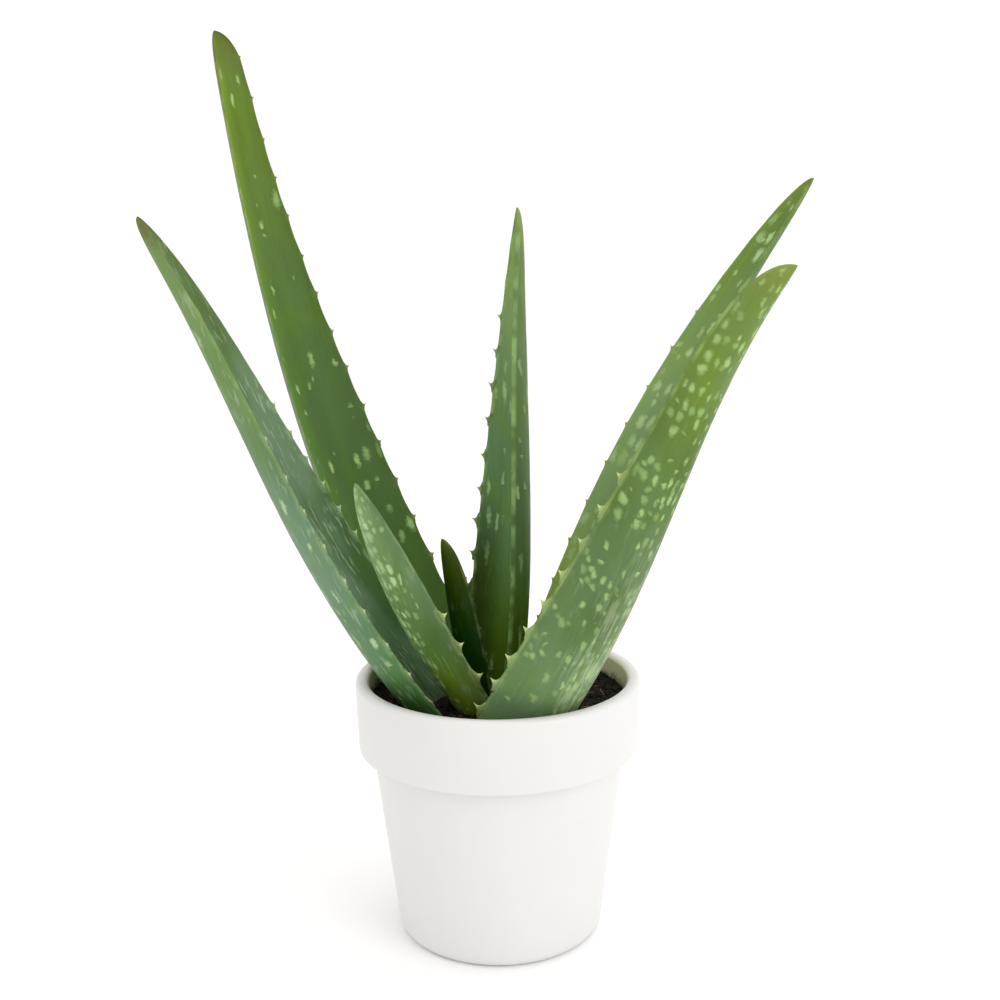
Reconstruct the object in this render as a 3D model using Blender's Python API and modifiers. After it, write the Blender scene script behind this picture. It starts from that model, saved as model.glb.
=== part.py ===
"""Potted aloe: a glazed pot filled with potting mix, and a rosette of seven toothed leaves on a short stem.

Frame: metres, +Z up, origin at the centre of the pot's underside. The plant is seen from -Y.
"""
import math
import random

import bmesh
import bpy
from mathutils import Matrix, Vector
from mathutils.bvhtree import BVHTree

MM = 0.001
SEAT_GAP = 0.3 * MM          # pieces that touch stay this far apart

# Pot
POT_HEIGHT = 121.0 * MM
RIM_RADIUS = 65.0 * MM
COLLAR_BOTTOM = 88.3 * MM
COLLAR_BOTTOM_RADIUS = 64.1 * MM
BODY_TOP_RADIUS = 58.0 * MM
FOOT_RADIUS = 46.8 * MM
BODY_SLOPE = (BODY_TOP_RADIUS - FOOT_RADIUS) / COLLAR_BOTTOM
FOOT_ROUNDING = 5.0 * MM
FLOOR_CORNER = 4.0 * MM      # rounding between the floor and the wall, inside
LIP_ROUNDING = 2.6 * MM
COLLAR_EDGE_ROUNDING = 0.8 * MM
WALL = 5.6 * MM
FLOOR = 7.0 * MM
COLLAR_INSIDE_RADIUS = 59.0 * MM
COLLAR_INSIDE_BOTTOM = 94.0 * MM
POT_STEPS = 48

# Soil
SOIL_LEVEL = 110.0 * MM
SOIL_UNEVENNESS = 1.1 * MM
SOIL_WAVES = ((190, 40, 0.8), (-70, 230, 2.1), (310, 170, 0.0))   # radians a metre in X and Y, and phase
SOIL_TOP_RINGS = 6
SOIL_STEPS = 32

# Stem
HEART_X = -4.0 * MM
HEART_Y = -9.0 * MM
STEM_RADIUS = 7.0 * MM
STEM_BOTTOM = 58.0 * MM
CROWN_RADIUS = 11.5 * MM     # the swollen top that the leaves grow from
CROWN_BOTTOM = 93.0 * MM
STEM_TOP = 104.0 * MM
CROWN_ROUNDING = 4.0 * MM
STEM_STEPS = 28

# Leaves
LEAF_STATIONS = 20           # sections along a leaf of the usual length
USUAL_LENGTH = 260.0         # in millimetres; shorter leaves get fewer sections
FEWEST_STATIONS = 12
LEAF_STATION_CROWDING = 1.5  # above 1, sections crowd towards the tip
CHANNEL_STOPS = (-1.0, -0.55, 0.0, 0.55, 1.0)
BELLY_STOPS = (1.0, 0.86, 0.5, 0.0, -0.5, -0.86, -1.0)
BELLY_FULLNESS = 0.75        # below 1, the underside is fuller than a parabola
MARGIN_EDGE = 0.9 * MM
TIP_SHARPNESS = 20.0         # power of the rounding that closes the tip
TOOTH_HEIGHT = 3.0 * MM
TOOTH_LENGTH = 4.6 * MM
TOOTH_THICKNESS = 1.7 * MM
TOOTH_ROOT = 1.6 * MM        # how deep a tooth is sunk into the margin
TOOTH_SLANT = math.radians(24)
TOOTH_TAPER = 0.45           # share of its size that a tooth at the tip has lost
TOOTH_VARIATION = (0.85, 1.1)
TOOTH_JITTER = 0.06          # share of the pitch
TOOTHED_SHARE = 0.975        # the last bit of the tip has no teeth
TOOTH_SEED = 7
TOOTH_ROOM = 2.2 * MM        # clear space a tooth needs


def clear_scene():
    for item in list(bpy.data.objects):
        bpy.data.objects.remove(item, do_unlink=True)


def new_collection(name):
    collection = bpy.data.collections.new(name)
    bpy.context.scene.collection.children.link(collection)
    return collection


def make_material(name, colour, roughness):
    material = bpy.data.materials.new(name)
    material.use_nodes = True
    shader = material.node_tree.nodes["Principled BSDF"]
    shader.inputs["Base Color"].default_value = (*colour, 1.0)
    shader.inputs["Roughness"].default_value = roughness
    shader.inputs["Metallic"].default_value = 0.0
    return material


def object_from_mesh(name, mesh, collection):
    item = bpy.data.objects.new(name, mesh)
    collection.objects.link(item)
    return item


def apply_modifiers(item):
    """Replace the object's mesh by its evaluated one and drop its modifiers."""
    graph = bpy.context.evaluated_depsgraph_get()
    mesh = bpy.data.meshes.new_from_object(item.evaluated_get(graph))
    item.modifiers.clear()
    old = item.data
    item.data = mesh
    bpy.data.meshes.remove(old)


def keep_largest_body(item):
    """Drop the loose scraps that a cut leaves, and keep the body with most faces."""
    work = bmesh.new()
    work.from_mesh(item.data)
    bodies = []
    seen = set()
    for start in work.verts:
        if start in seen:
            continue
        body = {start}
        front = [start]
        while front:
            vertex = front.pop()
            for edge in vertex.link_edges:
                other = edge.other_vert(vertex)
                if other not in body:
                    body.add(other)
                    front.append(other)
        seen |= body
        bodies.append(body)
    bodies.sort(key=len)
    for body in bodies[:-1]:
        bmesh.ops.delete(work, geom=list(body), context="VERTS")
    work.to_mesh(item.data)
    work.free()


def surface_tree(item):
    """Search tree over an object's faces, in world space."""
    work = bmesh.new()
    work.from_mesh(item.data)
    work.transform(item.matrix_world)
    tree = BVHTree.FromBMesh(work)
    work.free()
    return tree


def cut(item, cutter):
    modifier = item.modifiers.new("cut", "BOOLEAN")
    modifier.operation = "DIFFERENCE"
    modifier.object = cutter
    apply_modifiers(item)


def shade_round(item, sharp_degrees):
    item.data.shade_smooth()
    item.data.set_sharp_from_angle(angle=math.radians(sharp_degrees))


# ---------------------------------------------------------------- pot and soil

def arc(centre_r, centre_z, radius, start_degrees, end_degrees, steps):
    """Points of a rounded corner in the half-plane of a turned profile."""
    points = []
    for i in range(steps + 1):
        angle = math.radians(start_degrees + (end_degrees - start_degrees) * i / steps)
        points.append((centre_r + radius * math.cos(angle), centre_z + radius * math.sin(angle)))
    return points


def turned(name, profile, steps, collection):
    """A solid of revolution whose profile ends on the axis at both ends."""
    mesh = bpy.data.meshes.new(name)
    edges = [(i, i + 1) for i in range(len(profile) - 1)]
    mesh.from_pydata([(r, 0.0, z) for r, z in profile], edges, [])
    item = object_from_mesh(name, mesh, collection)
    screw = item.modifiers.new("turn", "SCREW")
    screw.steps = steps
    screw.render_steps = steps
    screw.use_merge_vertices = True
    screw.merge_threshold = 0.00001
    screw.use_normal_calculate = False
    return item


def cavity_radius(z):
    """Radius of the pot's inside at height z."""
    shoulder = COLLAR_BOTTOM - WALL
    if z >= COLLAR_INSIDE_BOTTOM:
        return COLLAR_INSIDE_RADIUS
    if z <= shoulder:
        return FOOT_RADIUS - WALL + BODY_SLOPE * z
    top_of_slope = FOOT_RADIUS - WALL + BODY_SLOPE * shoulder
    share = (z - shoulder) / (COLLAR_INSIDE_BOTTOM - shoulder)
    return top_of_slope + (COLLAR_INSIDE_RADIUS - top_of_slope) * share


def pot_profile():
    """Up the inside from the floor's centre, over the lip and down the outside to the foot's centre."""
    r_lip = LIP_ROUNDING
    corner = FLOOR_CORNER
    points = [(0.0, FLOOR)]
    points += arc(cavity_radius(FLOOR) - corner, FLOOR + corner, corner, -90, 0, 3)
    points.append((cavity_radius(COLLAR_BOTTOM - WALL), COLLAR_BOTTOM - WALL))
    points.append((COLLAR_INSIDE_RADIUS, COLLAR_INSIDE_BOTTOM))
    points += arc(COLLAR_INSIDE_RADIUS + r_lip, POT_HEIGHT - r_lip, r_lip, 180, 90, 3)
    points += arc(RIM_RADIUS - r_lip, POT_HEIGHT - r_lip, r_lip, 90, 0, 3)
    edge = COLLAR_EDGE_ROUNDING
    points += arc(COLLAR_BOTTOM_RADIUS - edge, COLLAR_BOTTOM + edge, edge, 0, -90, 2)
    points.append((BODY_TOP_RADIUS, COLLAR_BOTTOM))
    foot = FOOT_RADIUS + BODY_SLOPE * FOOT_ROUNDING
    points += arc(foot - FOOT_ROUNDING, FOOT_ROUNDING, FOOT_ROUNDING, 0, -90, 4)
    points.append((0.0, 0.0))
    return points


def make_pot(collection):
    pot = turned("pot", pot_profile(), POT_STEPS, collection)
    apply_modifiers(pot)
    shade_round(pot, 40)
    pot.data.materials.append(make_material("white_glaze", (0.86, 0.85, 0.83), 0.28))
    return pot


def soil_ripple(x, y):
    """Height of the potting mix above its mean level."""
    waves = [math.sin(per_x * x + per_y * y + phase) for per_x, per_y, phase in SOIL_WAVES]
    return SOIL_UNEVENNESS * sum(waves) / len(waves)


def make_soil(collection):
    """A plug that fills the pot up to the soil level, with an uneven top."""
    gap = SEAT_GAP
    top_radius = cavity_radius(SOIL_LEVEL) - gap
    points = [(top_radius * i / SOIL_TOP_RINGS, SOIL_LEVEL) for i in range(SOIL_TOP_RINGS + 1)]
    points.append((COLLAR_INSIDE_RADIUS - gap, COLLAR_INSIDE_BOTTOM + gap))
    shoulder = COLLAR_BOTTOM - WALL
    points.append((cavity_radius(shoulder) - gap, shoulder + gap))
    corner = FLOOR_CORNER
    points += arc(cavity_radius(FLOOR) - corner, FLOOR + corner, corner - gap, 0, -90, 3)
    points.append((0.0, FLOOR + gap))
    soil = turned("soil", points, SOIL_STEPS, collection)
    apply_modifiers(soil)
    for vertex in soil.data.vertices:
        if vertex.co.z > SOIL_LEVEL - 1.0 * MM:
            vertex.co.z += soil_ripple(vertex.co.x, vertex.co.y)
    soil.data.materials.append(make_material("potting_mix", (0.055, 0.040, 0.028), 0.95))
    return soil


def stem_solid(name, grow, collection):
    """The stem: a slim foot in the soil under a swollen crown with a domed top."""
    rounding = CROWN_ROUNDING
    points = [(0.0, STEM_TOP + grow)]
    points += arc(CROWN_RADIUS - rounding, STEM_TOP - rounding, rounding + grow, 75, 0, 3)
    points.append((CROWN_RADIUS + grow, CROWN_BOTTOM))
    points.append((STEM_RADIUS + grow, CROWN_BOTTOM - 2 * rounding))
    points.append((STEM_RADIUS + grow, STEM_BOTTOM - grow))
    points.append((0.0, STEM_BOTTOM - grow))
    item = turned(name, points, STEM_STEPS, collection)
    apply_modifiers(item)
    item.location = (HEART_X, HEART_Y, 0.0)
    return item


def make_stem(collection):
    stem = stem_solid("stem", 0.0, collection)
    shade_round(stem, 40)
    stem.data.materials.append(make_material("stem_bark", (0.24, 0.20, 0.10), 0.8))
    return stem


# ---------------------------------------------------------------------- leaves

def blend(values, t):
    """A smooth run through a few guide values (Bernstein weights), t from 0 at the base to 1 at the tip."""
    last = len(values) - 1
    return sum(math.comb(last, i) * t ** i * (1 - t) ** (last - i) * v for i, v in enumerate(values))


def leaf_axes(leaf, t):
    """Direction of growth, normal of the upper face and direction across the leaf at t."""
    azimuth = math.radians(blend(leaf["azimuth"], t))
    lean = math.radians(blend(leaf["lean"], t))
    roll = math.radians(blend(leaf["roll"], t))
    out = Vector((math.cos(azimuth), math.sin(azimuth), 0.0))
    up = Vector((0.0, 0.0, 1.0))
    along = out * math.sin(lean) + up * math.cos(lean)
    normal = up * math.sin(lean) - out * math.cos(lean)
    across = Vector((-math.sin(azimuth), math.cos(azimuth), 0.0))
    turned_normal = normal * math.cos(roll) + across * math.sin(roll)
    turned_across = across * math.cos(roll) - normal * math.sin(roll)
    return along, turned_normal, turned_across


def leaf_spine(leaf, samples=240):
    """Points of the line midway between the margins, found by stepping along the direction of growth."""
    point = Vector(leaf["root"]) * MM
    step = leaf["length"] * MM / samples
    points = [point.copy()]
    for i in range(samples):
        along = leaf_axes(leaf, (i + 0.5) / samples)[0]
        point = point + along * step
        points.append(point.copy())
    return points


def spine_point(spine, t):
    place = min(max(t, 0.0), 1.0) * (len(spine) - 1)
    i = min(int(place), len(spine) - 2)
    return spine[i].lerp(spine[i + 1], place - i)


def leaf_point(leaf, spine, t, u, side, grow):
    """A point of the leaf's skin: u runs from margin to margin, side is +1 in the channel, -1 on the belly."""
    along, normal, across = leaf_axes(leaf, t)
    full = 0.5 * blend(leaf["width"], t) * MM
    closing = math.sqrt(max(0.0, 1.0 - t ** TIP_SHARPNESS))
    half = full * closing
    shift = leaf["tip_skew"] * (full - half)
    hollow = blend(leaf["channel"], t) * 2 * half
    thick = blend(leaf["thickness"], t) * MM * closing
    arch = 1.0 - u * u
    if side > 0:
        height = grow - hollow * arch
    else:
        height = -grow - MARGIN_EDGE * closing - hollow * arch - thick * arch ** BELLY_FULLNESS
    return spine_point(spine, t) + across * (u * (half + grow) + shift) + normal * height


def leaf_skin(name, leaf, grow, collection):
    """Loft of crescent sections from the cut base to the tip."""
    spine = leaf_spine(leaf)
    stations = max(FEWEST_STATIONS, round(LEAF_STATIONS * (leaf["length"] / USUAL_LENGTH) ** 0.6))
    mesh = bpy.data.meshes.new(name)
    work = bmesh.new()
    rings = []
    for i in range(stations):
        t = 1.0 - (1.0 - i / stations) ** LEAF_STATION_CROWDING
        ring = [leaf_point(leaf, spine, t, u, 1, grow) for u in CHANNEL_STOPS]
        ring += [leaf_point(leaf, spine, t, u, -1, grow) for u in BELLY_STOPS]
        if i == 0:
            ring = [p - leaf_axes(leaf, 0.0)[0] * grow for p in ring]
        rings.append([work.verts.new(p) for p in ring])
    count = len(rings[0])
    for lower, upper in zip(rings, rings[1:]):
        for k in range(count):
            n = (k + 1) % count
            work.faces.new((lower[k], lower[n], upper[n], upper[k]))
    tip = work.verts.new(leaf_point(leaf, spine, 1.0, 0.0, 1, 0.0) + leaf_axes(leaf, 1.0)[0] * grow)
    for k in range(count):
        work.faces.new((rings[-1][k], rings[-1][(k + 1) % count], tip))
    work.faces.new(list(reversed(rings[0])))
    bmesh.ops.recalc_face_normals(work, faces=work.faces)
    work.to_mesh(mesh)
    work.free()
    return object_from_mesh(name, mesh, collection)


def tooth_places(leaf, margin, chance):
    """Shares of the length at which the teeth of one margin stand."""
    which = 0 if margin < 0 else 1
    pitch = leaf["tooth_pitch"][which]
    place = leaf["first_tooth"][which]
    places = []
    while place < leaf["length"] * TOOTHED_SHARE:
        places.append((place + chance.uniform(-TOOTH_JITTER, TOOTH_JITTER) * pitch) / leaf["length"])
        place += pitch
    return places


def tooth_matrix(leaf, spine, t, margin):
    """Frame of a tooth: X along the margin, Y through the blade, Z on from the channel, slanted to the tip."""
    step = 0.004
    edge = leaf_point(leaf, spine, t, margin, 1, 0.0)
    nearby = leaf_point(leaf, spine, min(t + step, 1.0), margin, 1, 0.0)
    before = leaf_point(leaf, spine, max(t - step, 0.0), margin, 1, 0.0)
    along = (nearby - before).normalized()
    _, normal, across = leaf_axes(leaf, t)
    rise = math.atan(4 * blend(leaf["channel"], t))       # how steeply the channel meets its margin
    outward = across * margin * math.cos(rise) + normal * math.sin(rise)
    outward = (outward - along * outward.dot(along)).normalized()
    point = (outward * math.cos(TOOTH_SLANT) + along * math.sin(TOOTH_SLANT)).normalized()
    side = point.cross(along).normalized()
    run = side.cross(point).normalized()
    turn = Matrix((run, side, point)).transposed().to_4x4()
    return Matrix.Translation(edge - normal * MARGIN_EDGE * 0.5) @ turn


def is_inside(tree, point):
    """True where a slanted ray from the point leaves the closed surface an odd number of times."""
    direction = Vector((0.31, 0.23, 1.0)).normalized()
    crossings = 0
    place = tree.ray_cast(point, direction)[0]
    while place is not None:
        crossings += 1
        place = tree.ray_cast(place + direction * 0.001 * MM, direction)[0]
    return crossings % 2 == 1


def has_room(frame, neighbours):
    """True where a tooth stands above the soil and clear of the other leaves."""
    points = [frame @ Vector((0.0, 0.0, TOOTH_HEIGHT * share)) for share in (0.0, 0.5, 1.0)]
    if min(point.z for point in points) < SOIL_LEVEL + TOOTH_HEIGHT:
        return False
    for tree in neighbours:
        for point in points:
            if tree.find_nearest(point)[3] < TOOTH_ROOM or is_inside(tree, point):
                return False
    return True


def teeth_solids(name, leaf, neighbours, collection):
    """The teeth of a leaf that have room, each a slim four-sided cone with its root inside the blade."""
    spine = leaf_spine(leaf)
    chance = random.Random(TOOTH_SEED + round(leaf["length"]))
    mesh = bpy.data.meshes.new(name)
    work = bmesh.new()
    for margin in (-1, 1):
        for t in tooth_places(leaf, margin, chance):
            size = leaf["tooth_size"] * (1.0 - TOOTH_TAPER * t) * chance.uniform(*TOOTH_VARIATION)
            height = TOOTH_HEIGHT * size + TOOTH_ROOT
            frame = tooth_matrix(leaf, spine, t, margin)
            if not has_room(frame, neighbours):
                continue
            slim = Matrix.Diagonal((TOOTH_LENGTH * size, TOOTH_THICKNESS * size, 1.0, 1.0))
            lift = Matrix.Translation((0.0, 0.0, height / 2 - TOOTH_ROOT))
            bmesh.ops.create_cone(work, segments=4, radius1=0.5, radius2=0.0, depth=height,
                                  cap_ends=True, matrix=frame @ lift @ slim)
    work.to_mesh(mesh)
    work.free()
    return object_from_mesh(name, mesh, collection)


def make_leaf(leaf, inner, collection, cutters):
    """One leaf: its skin cut clear of the stem and the inner leaves, then joined with its teeth."""
    item = leaf_skin(leaf["name"], leaf, 0.0, collection)
    for name in ["stem"] + inner:
        cut(item, cutters[name])
    keep_largest_body(item)
    neighbours = [surface_tree(cutters[name]) for name in cutters if name != leaf["name"]]
    teeth = teeth_solids("teeth", leaf, neighbours, collection)
    join = item.modifiers.new("join", "BOOLEAN")
    join.operation = "UNION"
    join.object = teeth
    apply_modifiers(item)
    bpy.data.objects.remove(teeth, do_unlink=True)
    keep_largest_body(item)
    shade_round(item, 50)
    item.data.materials.append(make_material(leaf["name"] + "_skin", leaf["colour"], 0.42))
    return item


def leaf_heart():
    """The youngest leaf, short and dark, in the middle of the rosette."""
    return dict(
        name="leaf_heart", root=(-4.7, -9.5, 103), azimuth=(209, 220), lean=(12, 14, 10, 18), roll=(-1, -12),
        length=88, width=(18.5, 20.5, 19.5, 6), thickness=(5, 2), channel=(0.15, 0.15), tip_skew=-0.9,
        tooth_pitch=(12, 12), first_tooth=(17, 22), tooth_size=0.6, colour=(0.05, 0.09, 0.02))


def leaf_upright():
    """The leaf that stands almost straight up."""
    return dict(
        name="leaf_upright", root=(-9.5, -9, 100), azimuth=(29, 16.5), lean=(8, 3, 3, 7), roll=(-5, 2),
        length=230, width=(32.5, 49.5, 19.5, 6), thickness=(10, 2), channel=(0.28, 0.29), tip_skew=-0.7,
        tooth_pitch=(16, 15.5), first_tooth=(22, 28), tooth_size=0.8, colour=(0.13, 0.22, 0.10))


def leaf_front_small():
    """The short spotted leaf that leans to the front left, over the channel of the lowest one."""
    return dict(
        name="leaf_front_small", root=(-1.5, -9.7, 98), azimuth=(218.5, 234), lean=(36, 36, 27, 29.5),
        roll=(-2, -12), length=145.5, width=(24, 31.5, 27.5, 5), thickness=(5.5, 2.2), channel=(0.11, 0.12),
        tip_skew=0.0, tooth_pitch=(17, 18), first_tooth=(27, 22), tooth_size=0.9,
        colour=(0.16, 0.30, 0.10))


def leaf_right_back():
    """The long leaf at the back right, turned over towards its tip."""
    return dict(
        name="leaf_right_back", root=(-2.8, -8, 92), azimuth=(5, 24), lean=(25.5, 18, 40, 40.5),
        roll=(8.5, -13.5), length=293.5, width=(36, 44.5, 24.5, 9), thickness=(10, 3), channel=(0.20, 0.18),
        tip_skew=-1.0, tooth_pitch=(19, 20), first_tooth=(27, 36), tooth_size=0.9,
        colour=(0.17, 0.24, 0.08))


def leaf_left_tall():
    """The tallest leaf, at the back left."""
    return dict(
        name="leaf_left_tall", root=(-6.5, -3, 94), azimuth=(132, 138.5), lean=(47.5, 32, 25, 13.5),
        roll=(0, -2.5), length=383, width=(33.5, 70, 22, 18.5), thickness=(11.5, 3), channel=(0.23, 0.24),
        tip_skew=1.0, tooth_pitch=(21.3, 18.5), first_tooth=(30, 31), tooth_size=0.85,
        colour=(0.10, 0.19, 0.06))


def leaf_left_low():
    """The lowest leaf on the left, with a deep open channel."""
    return dict(
        name="leaf_left_low", root=(-3.8, -8.8, 92), azimuth=(192, 192), lean=(37, 36.5, 13, 37.5),
        roll=(19.5, 17), length=273.5, width=(39.5, 61.5, 21.5, 10.5), thickness=(11.2, 2.7),
        channel=(0.22, 0.27), tip_skew=0.5, tooth_pitch=(13.9, 16.4), first_tooth=(13, 24), tooth_size=1.0,
        colour=(0.17, 0.30, 0.15))


def leaf_right_front():
    """The broad spotted leaf at the front right, its underside turned to the front."""
    return dict(
        name="leaf_right_front", root=(-2.6, -10, 90), azimuth=(-42.5, -39), lean=(37, 36, 17, 40),
        roll=(12.5, 18), length=257, width=(40, 63, 16.5, 21), thickness=(11.8, 3), channel=(0.27, 0.18),
        tip_skew=1.0, tooth_pitch=(16, 16), first_tooth=(13.5, 20), tooth_size=1.0,
        colour=(0.20, 0.34, 0.13))


LEAVES = (leaf_heart, leaf_upright, leaf_front_small, leaf_right_back, leaf_left_tall, leaf_left_low,
          leaf_right_front)


def make_plant(collection, guides, soil):
    """Leaves from the heart outwards, each clear of those inside it, and the soil clear of them all."""
    leaves = [describe() for describe in LEAVES]
    cutters = {"stem": stem_solid("cut_stem", SEAT_GAP, guides)}
    for leaf in leaves:
        cutters[leaf["name"]] = leaf_skin("cut_" + leaf["name"], leaf, SEAT_GAP, guides)
    bpy.context.view_layer.update()
    inner = []
    for leaf in leaves:
        make_leaf(leaf, inner, collection, cutters)
        inner.append(leaf["name"])
    for cutter in cutters.values():
        cutter.hide_render = True
        cutter.display_type = "WIRE"
        cut(soil, cutter)
    keep_largest_body(soil)


def main():
    clear_scene()
    parts = new_collection("potted_aloe")
    guides = new_collection("cutters")
    make_pot(parts)
    soil = make_soil(parts)
    make_stem(parts)
    make_plant(parts, guides, soil)


main()
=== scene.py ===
# %% [markdown]
# # A potted aloe
# The real thing is a young succulent in a glazed pot: seven thick, toothed leaves grow from one short
# stem that stands in potting mix. This lesson loads the packed solids, which fix every size and place,
# and grows finer pieces over them: leaves with hooked teeth and spotted skin, crumbly soil, soft glaze.

# %% Open the packed model
import math

import bmesh
import bpy
from mathutils import Matrix, Vector


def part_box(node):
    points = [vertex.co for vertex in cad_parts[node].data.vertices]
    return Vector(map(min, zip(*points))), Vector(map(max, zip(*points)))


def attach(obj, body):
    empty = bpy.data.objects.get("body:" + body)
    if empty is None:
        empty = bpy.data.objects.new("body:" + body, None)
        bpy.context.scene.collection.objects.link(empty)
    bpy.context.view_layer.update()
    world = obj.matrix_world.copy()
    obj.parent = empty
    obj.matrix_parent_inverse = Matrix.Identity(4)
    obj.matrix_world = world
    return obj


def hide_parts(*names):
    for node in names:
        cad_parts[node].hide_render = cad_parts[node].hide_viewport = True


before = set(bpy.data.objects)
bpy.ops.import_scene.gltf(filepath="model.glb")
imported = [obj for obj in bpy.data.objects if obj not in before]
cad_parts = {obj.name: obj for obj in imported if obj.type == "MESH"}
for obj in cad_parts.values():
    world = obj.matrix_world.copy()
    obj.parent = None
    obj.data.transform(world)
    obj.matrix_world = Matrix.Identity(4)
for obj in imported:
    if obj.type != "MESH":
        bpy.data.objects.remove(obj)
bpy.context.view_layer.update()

MM = 0.001
MERGE = 0.01 * MM            # points closer than this are one
SOIL_LEVEL = 110.0 * MM
SEAT_GAP = 0.3 * MM          # between a piece and what it is set against
print("nodes:", ", ".join(sorted(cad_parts)))

# %% [markdown]
# ## The studio
# A plant like this is shown on a plain sheet that is bright enough to read as white, with only a soft
# shadow where the pot stands.

# %% The sheet
SHEET_SIDE = 6.0

scene = bpy.context.scene
scene.view_settings.view_transform = "Standard"


def lay_sheet():
    mesh = bpy.data.meshes.new("sheet")
    half = SHEET_SIDE / 2
    corners = [(-half, -half, 0), (half, -half, 0), (half, half, 0), (-half, half, 0)]
    mesh.from_pydata([Vector(c) for c in corners], [], [(0, 1, 2, 3)])
    sheet = bpy.data.objects.new("sheet", mesh)
    scene.collection.objects.link(sheet)
    paper = bpy.data.materials.new("pale sheet")
    paper.use_nodes = True
    shader = paper.node_tree.nodes["Principled BSDF"]
    shader.inputs["Base Color"].default_value = (0.98, 0.98, 0.98, 1)
    shader.inputs["Roughness"].default_value = 0.9
    mesh.materials.append(paper)


lay_sheet()
print("sheet:", SHEET_SIDE, "m square")

# %% [markdown]
# ## Light
# Even light comes from a large window on the right and a lamp above. Big area lights give soft shadows,
# and a bright world keeps the shadow sides open.

# %% Lights and world
def hang_light(name, spot, aim, side, power, colour=(1, 1, 1)):
    light = bpy.data.lights.new(name, "AREA")
    light.shape = "DISK"
    light.size = side
    light.energy = power
    light.color = colour
    lamp = bpy.data.objects.new(name, light)
    turn = (Vector(aim) - Vector(spot)).to_track_quat("-Z", "Y").to_matrix().to_4x4()
    lamp.matrix_world = Matrix.Translation(spot) @ turn
    scene.collection.objects.link(lamp)


def light_world(colour, strength):
    world = bpy.data.worlds.new("bright room")
    world.use_nodes = True
    world.node_tree.nodes["Background"].inputs["Color"].default_value = (*colour, 1)
    world.node_tree.nodes["Background"].inputs["Strength"].default_value = strength
    scene.world = world


light_world((1.0, 0.985, 0.965), 1.05)
hang_light("window", (1.1, -1.0, 0.9), (0, 0, 0.2), 1.0, 6.5, (0.93, 0.97, 1.0))
hang_light("top", (0.2, 0.2, 1.6), (0, 0, 0.1), 1.2, 4.0)
print("lights:", [light.name for light in bpy.data.lights])

# %% [markdown]
# ## Camera
# It stands in front of the pot, a little over half a metre away, and looks slightly down.

# %% The camera
EYE = Vector((0.00185, -0.565, 0.309))
EYE_TILT = math.radians(10.78)      # how far the view looks down
EYE_ROLL = math.radians(-0.59)
EYE_LENS = 46.33                    # on a sensor 36 mm wide


def stand_camera():
    camera = bpy.data.cameras.new("camera")
    camera.lens = EYE_LENS
    camera.sensor_width = 36
    stand = bpy.data.objects.new("camera", camera)
    tilt = Matrix.Rotation(math.pi / 2 - EYE_TILT, 4, "X")
    stand.matrix_world = Matrix.Translation(EYE) @ tilt @ Matrix.Rotation(EYE_ROLL, 4, "Z")
    scene.collection.objects.link(stand)
    scene.camera = stand


stand_camera()
print("camera at", [round(v, 4) for v in scene.camera.location])

# %% [markdown]
# ## Placing nodes
# Most of the plant follows rules, and Blender keeps rules in node trees. A tree written link by link is
# hard to read, so a few functions place a node and feed it, for geometry trees and shader trees alike.

# %% Nodes and sums
def feed(tree, socket, value):
    """Gives a socket a wire or a plain value."""
    if isinstance(value, Wire):
        tree.links.new(value.socket, socket)
    else:
        socket.default_value = value


def place(tree, kind, feeds=None, **settings):
    """Places one node, sets its options, then feeds its sockets by name or number."""
    node = tree.nodes.new(kind)
    for name, value in settings.items():
        setattr(node, name, value)
    for key, value in (feeds or {}).items():
        feed(tree, node.inputs[key], value)
    return node


def is_direction(value):
    if isinstance(value, Wire):
        return value.socket.type in {"VECTOR", "RGBA"}
    return isinstance(value, (tuple, Vector))


GIVE_A_NUMBER = {"DOT_PRODUCT", "LENGTH", "DISTANCE"}


def sums(tree, operation, *values):
    """One Math or Vector Math node, chosen by what it is given."""
    directions = [is_direction(v) for v in values]
    if operation == "MULTIPLY" and any(directions) and not all(directions):
        values = values if directions[0] else values[::-1]
        node = place(tree, "ShaderNodeVectorMath", {0: values[0], "Scale": values[1]}, operation="SCALE")
    else:
        kind = "ShaderNodeVectorMath" if any(directions) else "ShaderNodeMath"
        node = place(tree, kind, dict(enumerate(values)), operation=operation)
    return Wire(tree, node.outputs["Value" if operation in GIVE_A_NUMBER else 0])


print("sums of vectors that give a number:", ", ".join(sorted(GIVE_A_NUMBER)))

# %% [markdown]
# ## Formulas as wires
# A small class wraps an output socket: adding or multiplying two wires places the Math node that does it.

# %% A wire
class Wire:
    """An output in a node tree that can be used in a formula."""

    def __init__(self, tree, socket):
        self.tree = tree
        self.socket = socket

    def __add__(self, other):
        return sums(self.tree, "ADD", self, other)

    def __radd__(self, other):
        return sums(self.tree, "ADD", other, self)

    def __sub__(self, other):
        return sums(self.tree, "SUBTRACT", self, other)

    def __rsub__(self, other):
        return sums(self.tree, "SUBTRACT", other, self)

    def __mul__(self, other):
        return sums(self.tree, "MULTIPLY", self, other)

    def __rmul__(self, other):
        return sums(self.tree, "MULTIPLY", other, self)

    def __truediv__(self, other):
        return sums(self.tree, "DIVIDE", self, other)

    def __pow__(self, other):
        return sums(self.tree, "POWER", self, other)

    def __neg__(self):
        return self * -1.0

    def do(self, operation, *others):
        return sums(self.tree, operation, self, *others)


print("a wire can:", ", ".join(name.strip("_") for name, what in vars(Wire).items() if callable(what)))

# %% [markdown]
# ## Mixes, steps and noise
# A few formulas come back in every piece: a mix of two values, a smooth step, a vector made of numbers
# and taken apart again, and soft noise. Each is one node behind a short name.

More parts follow.
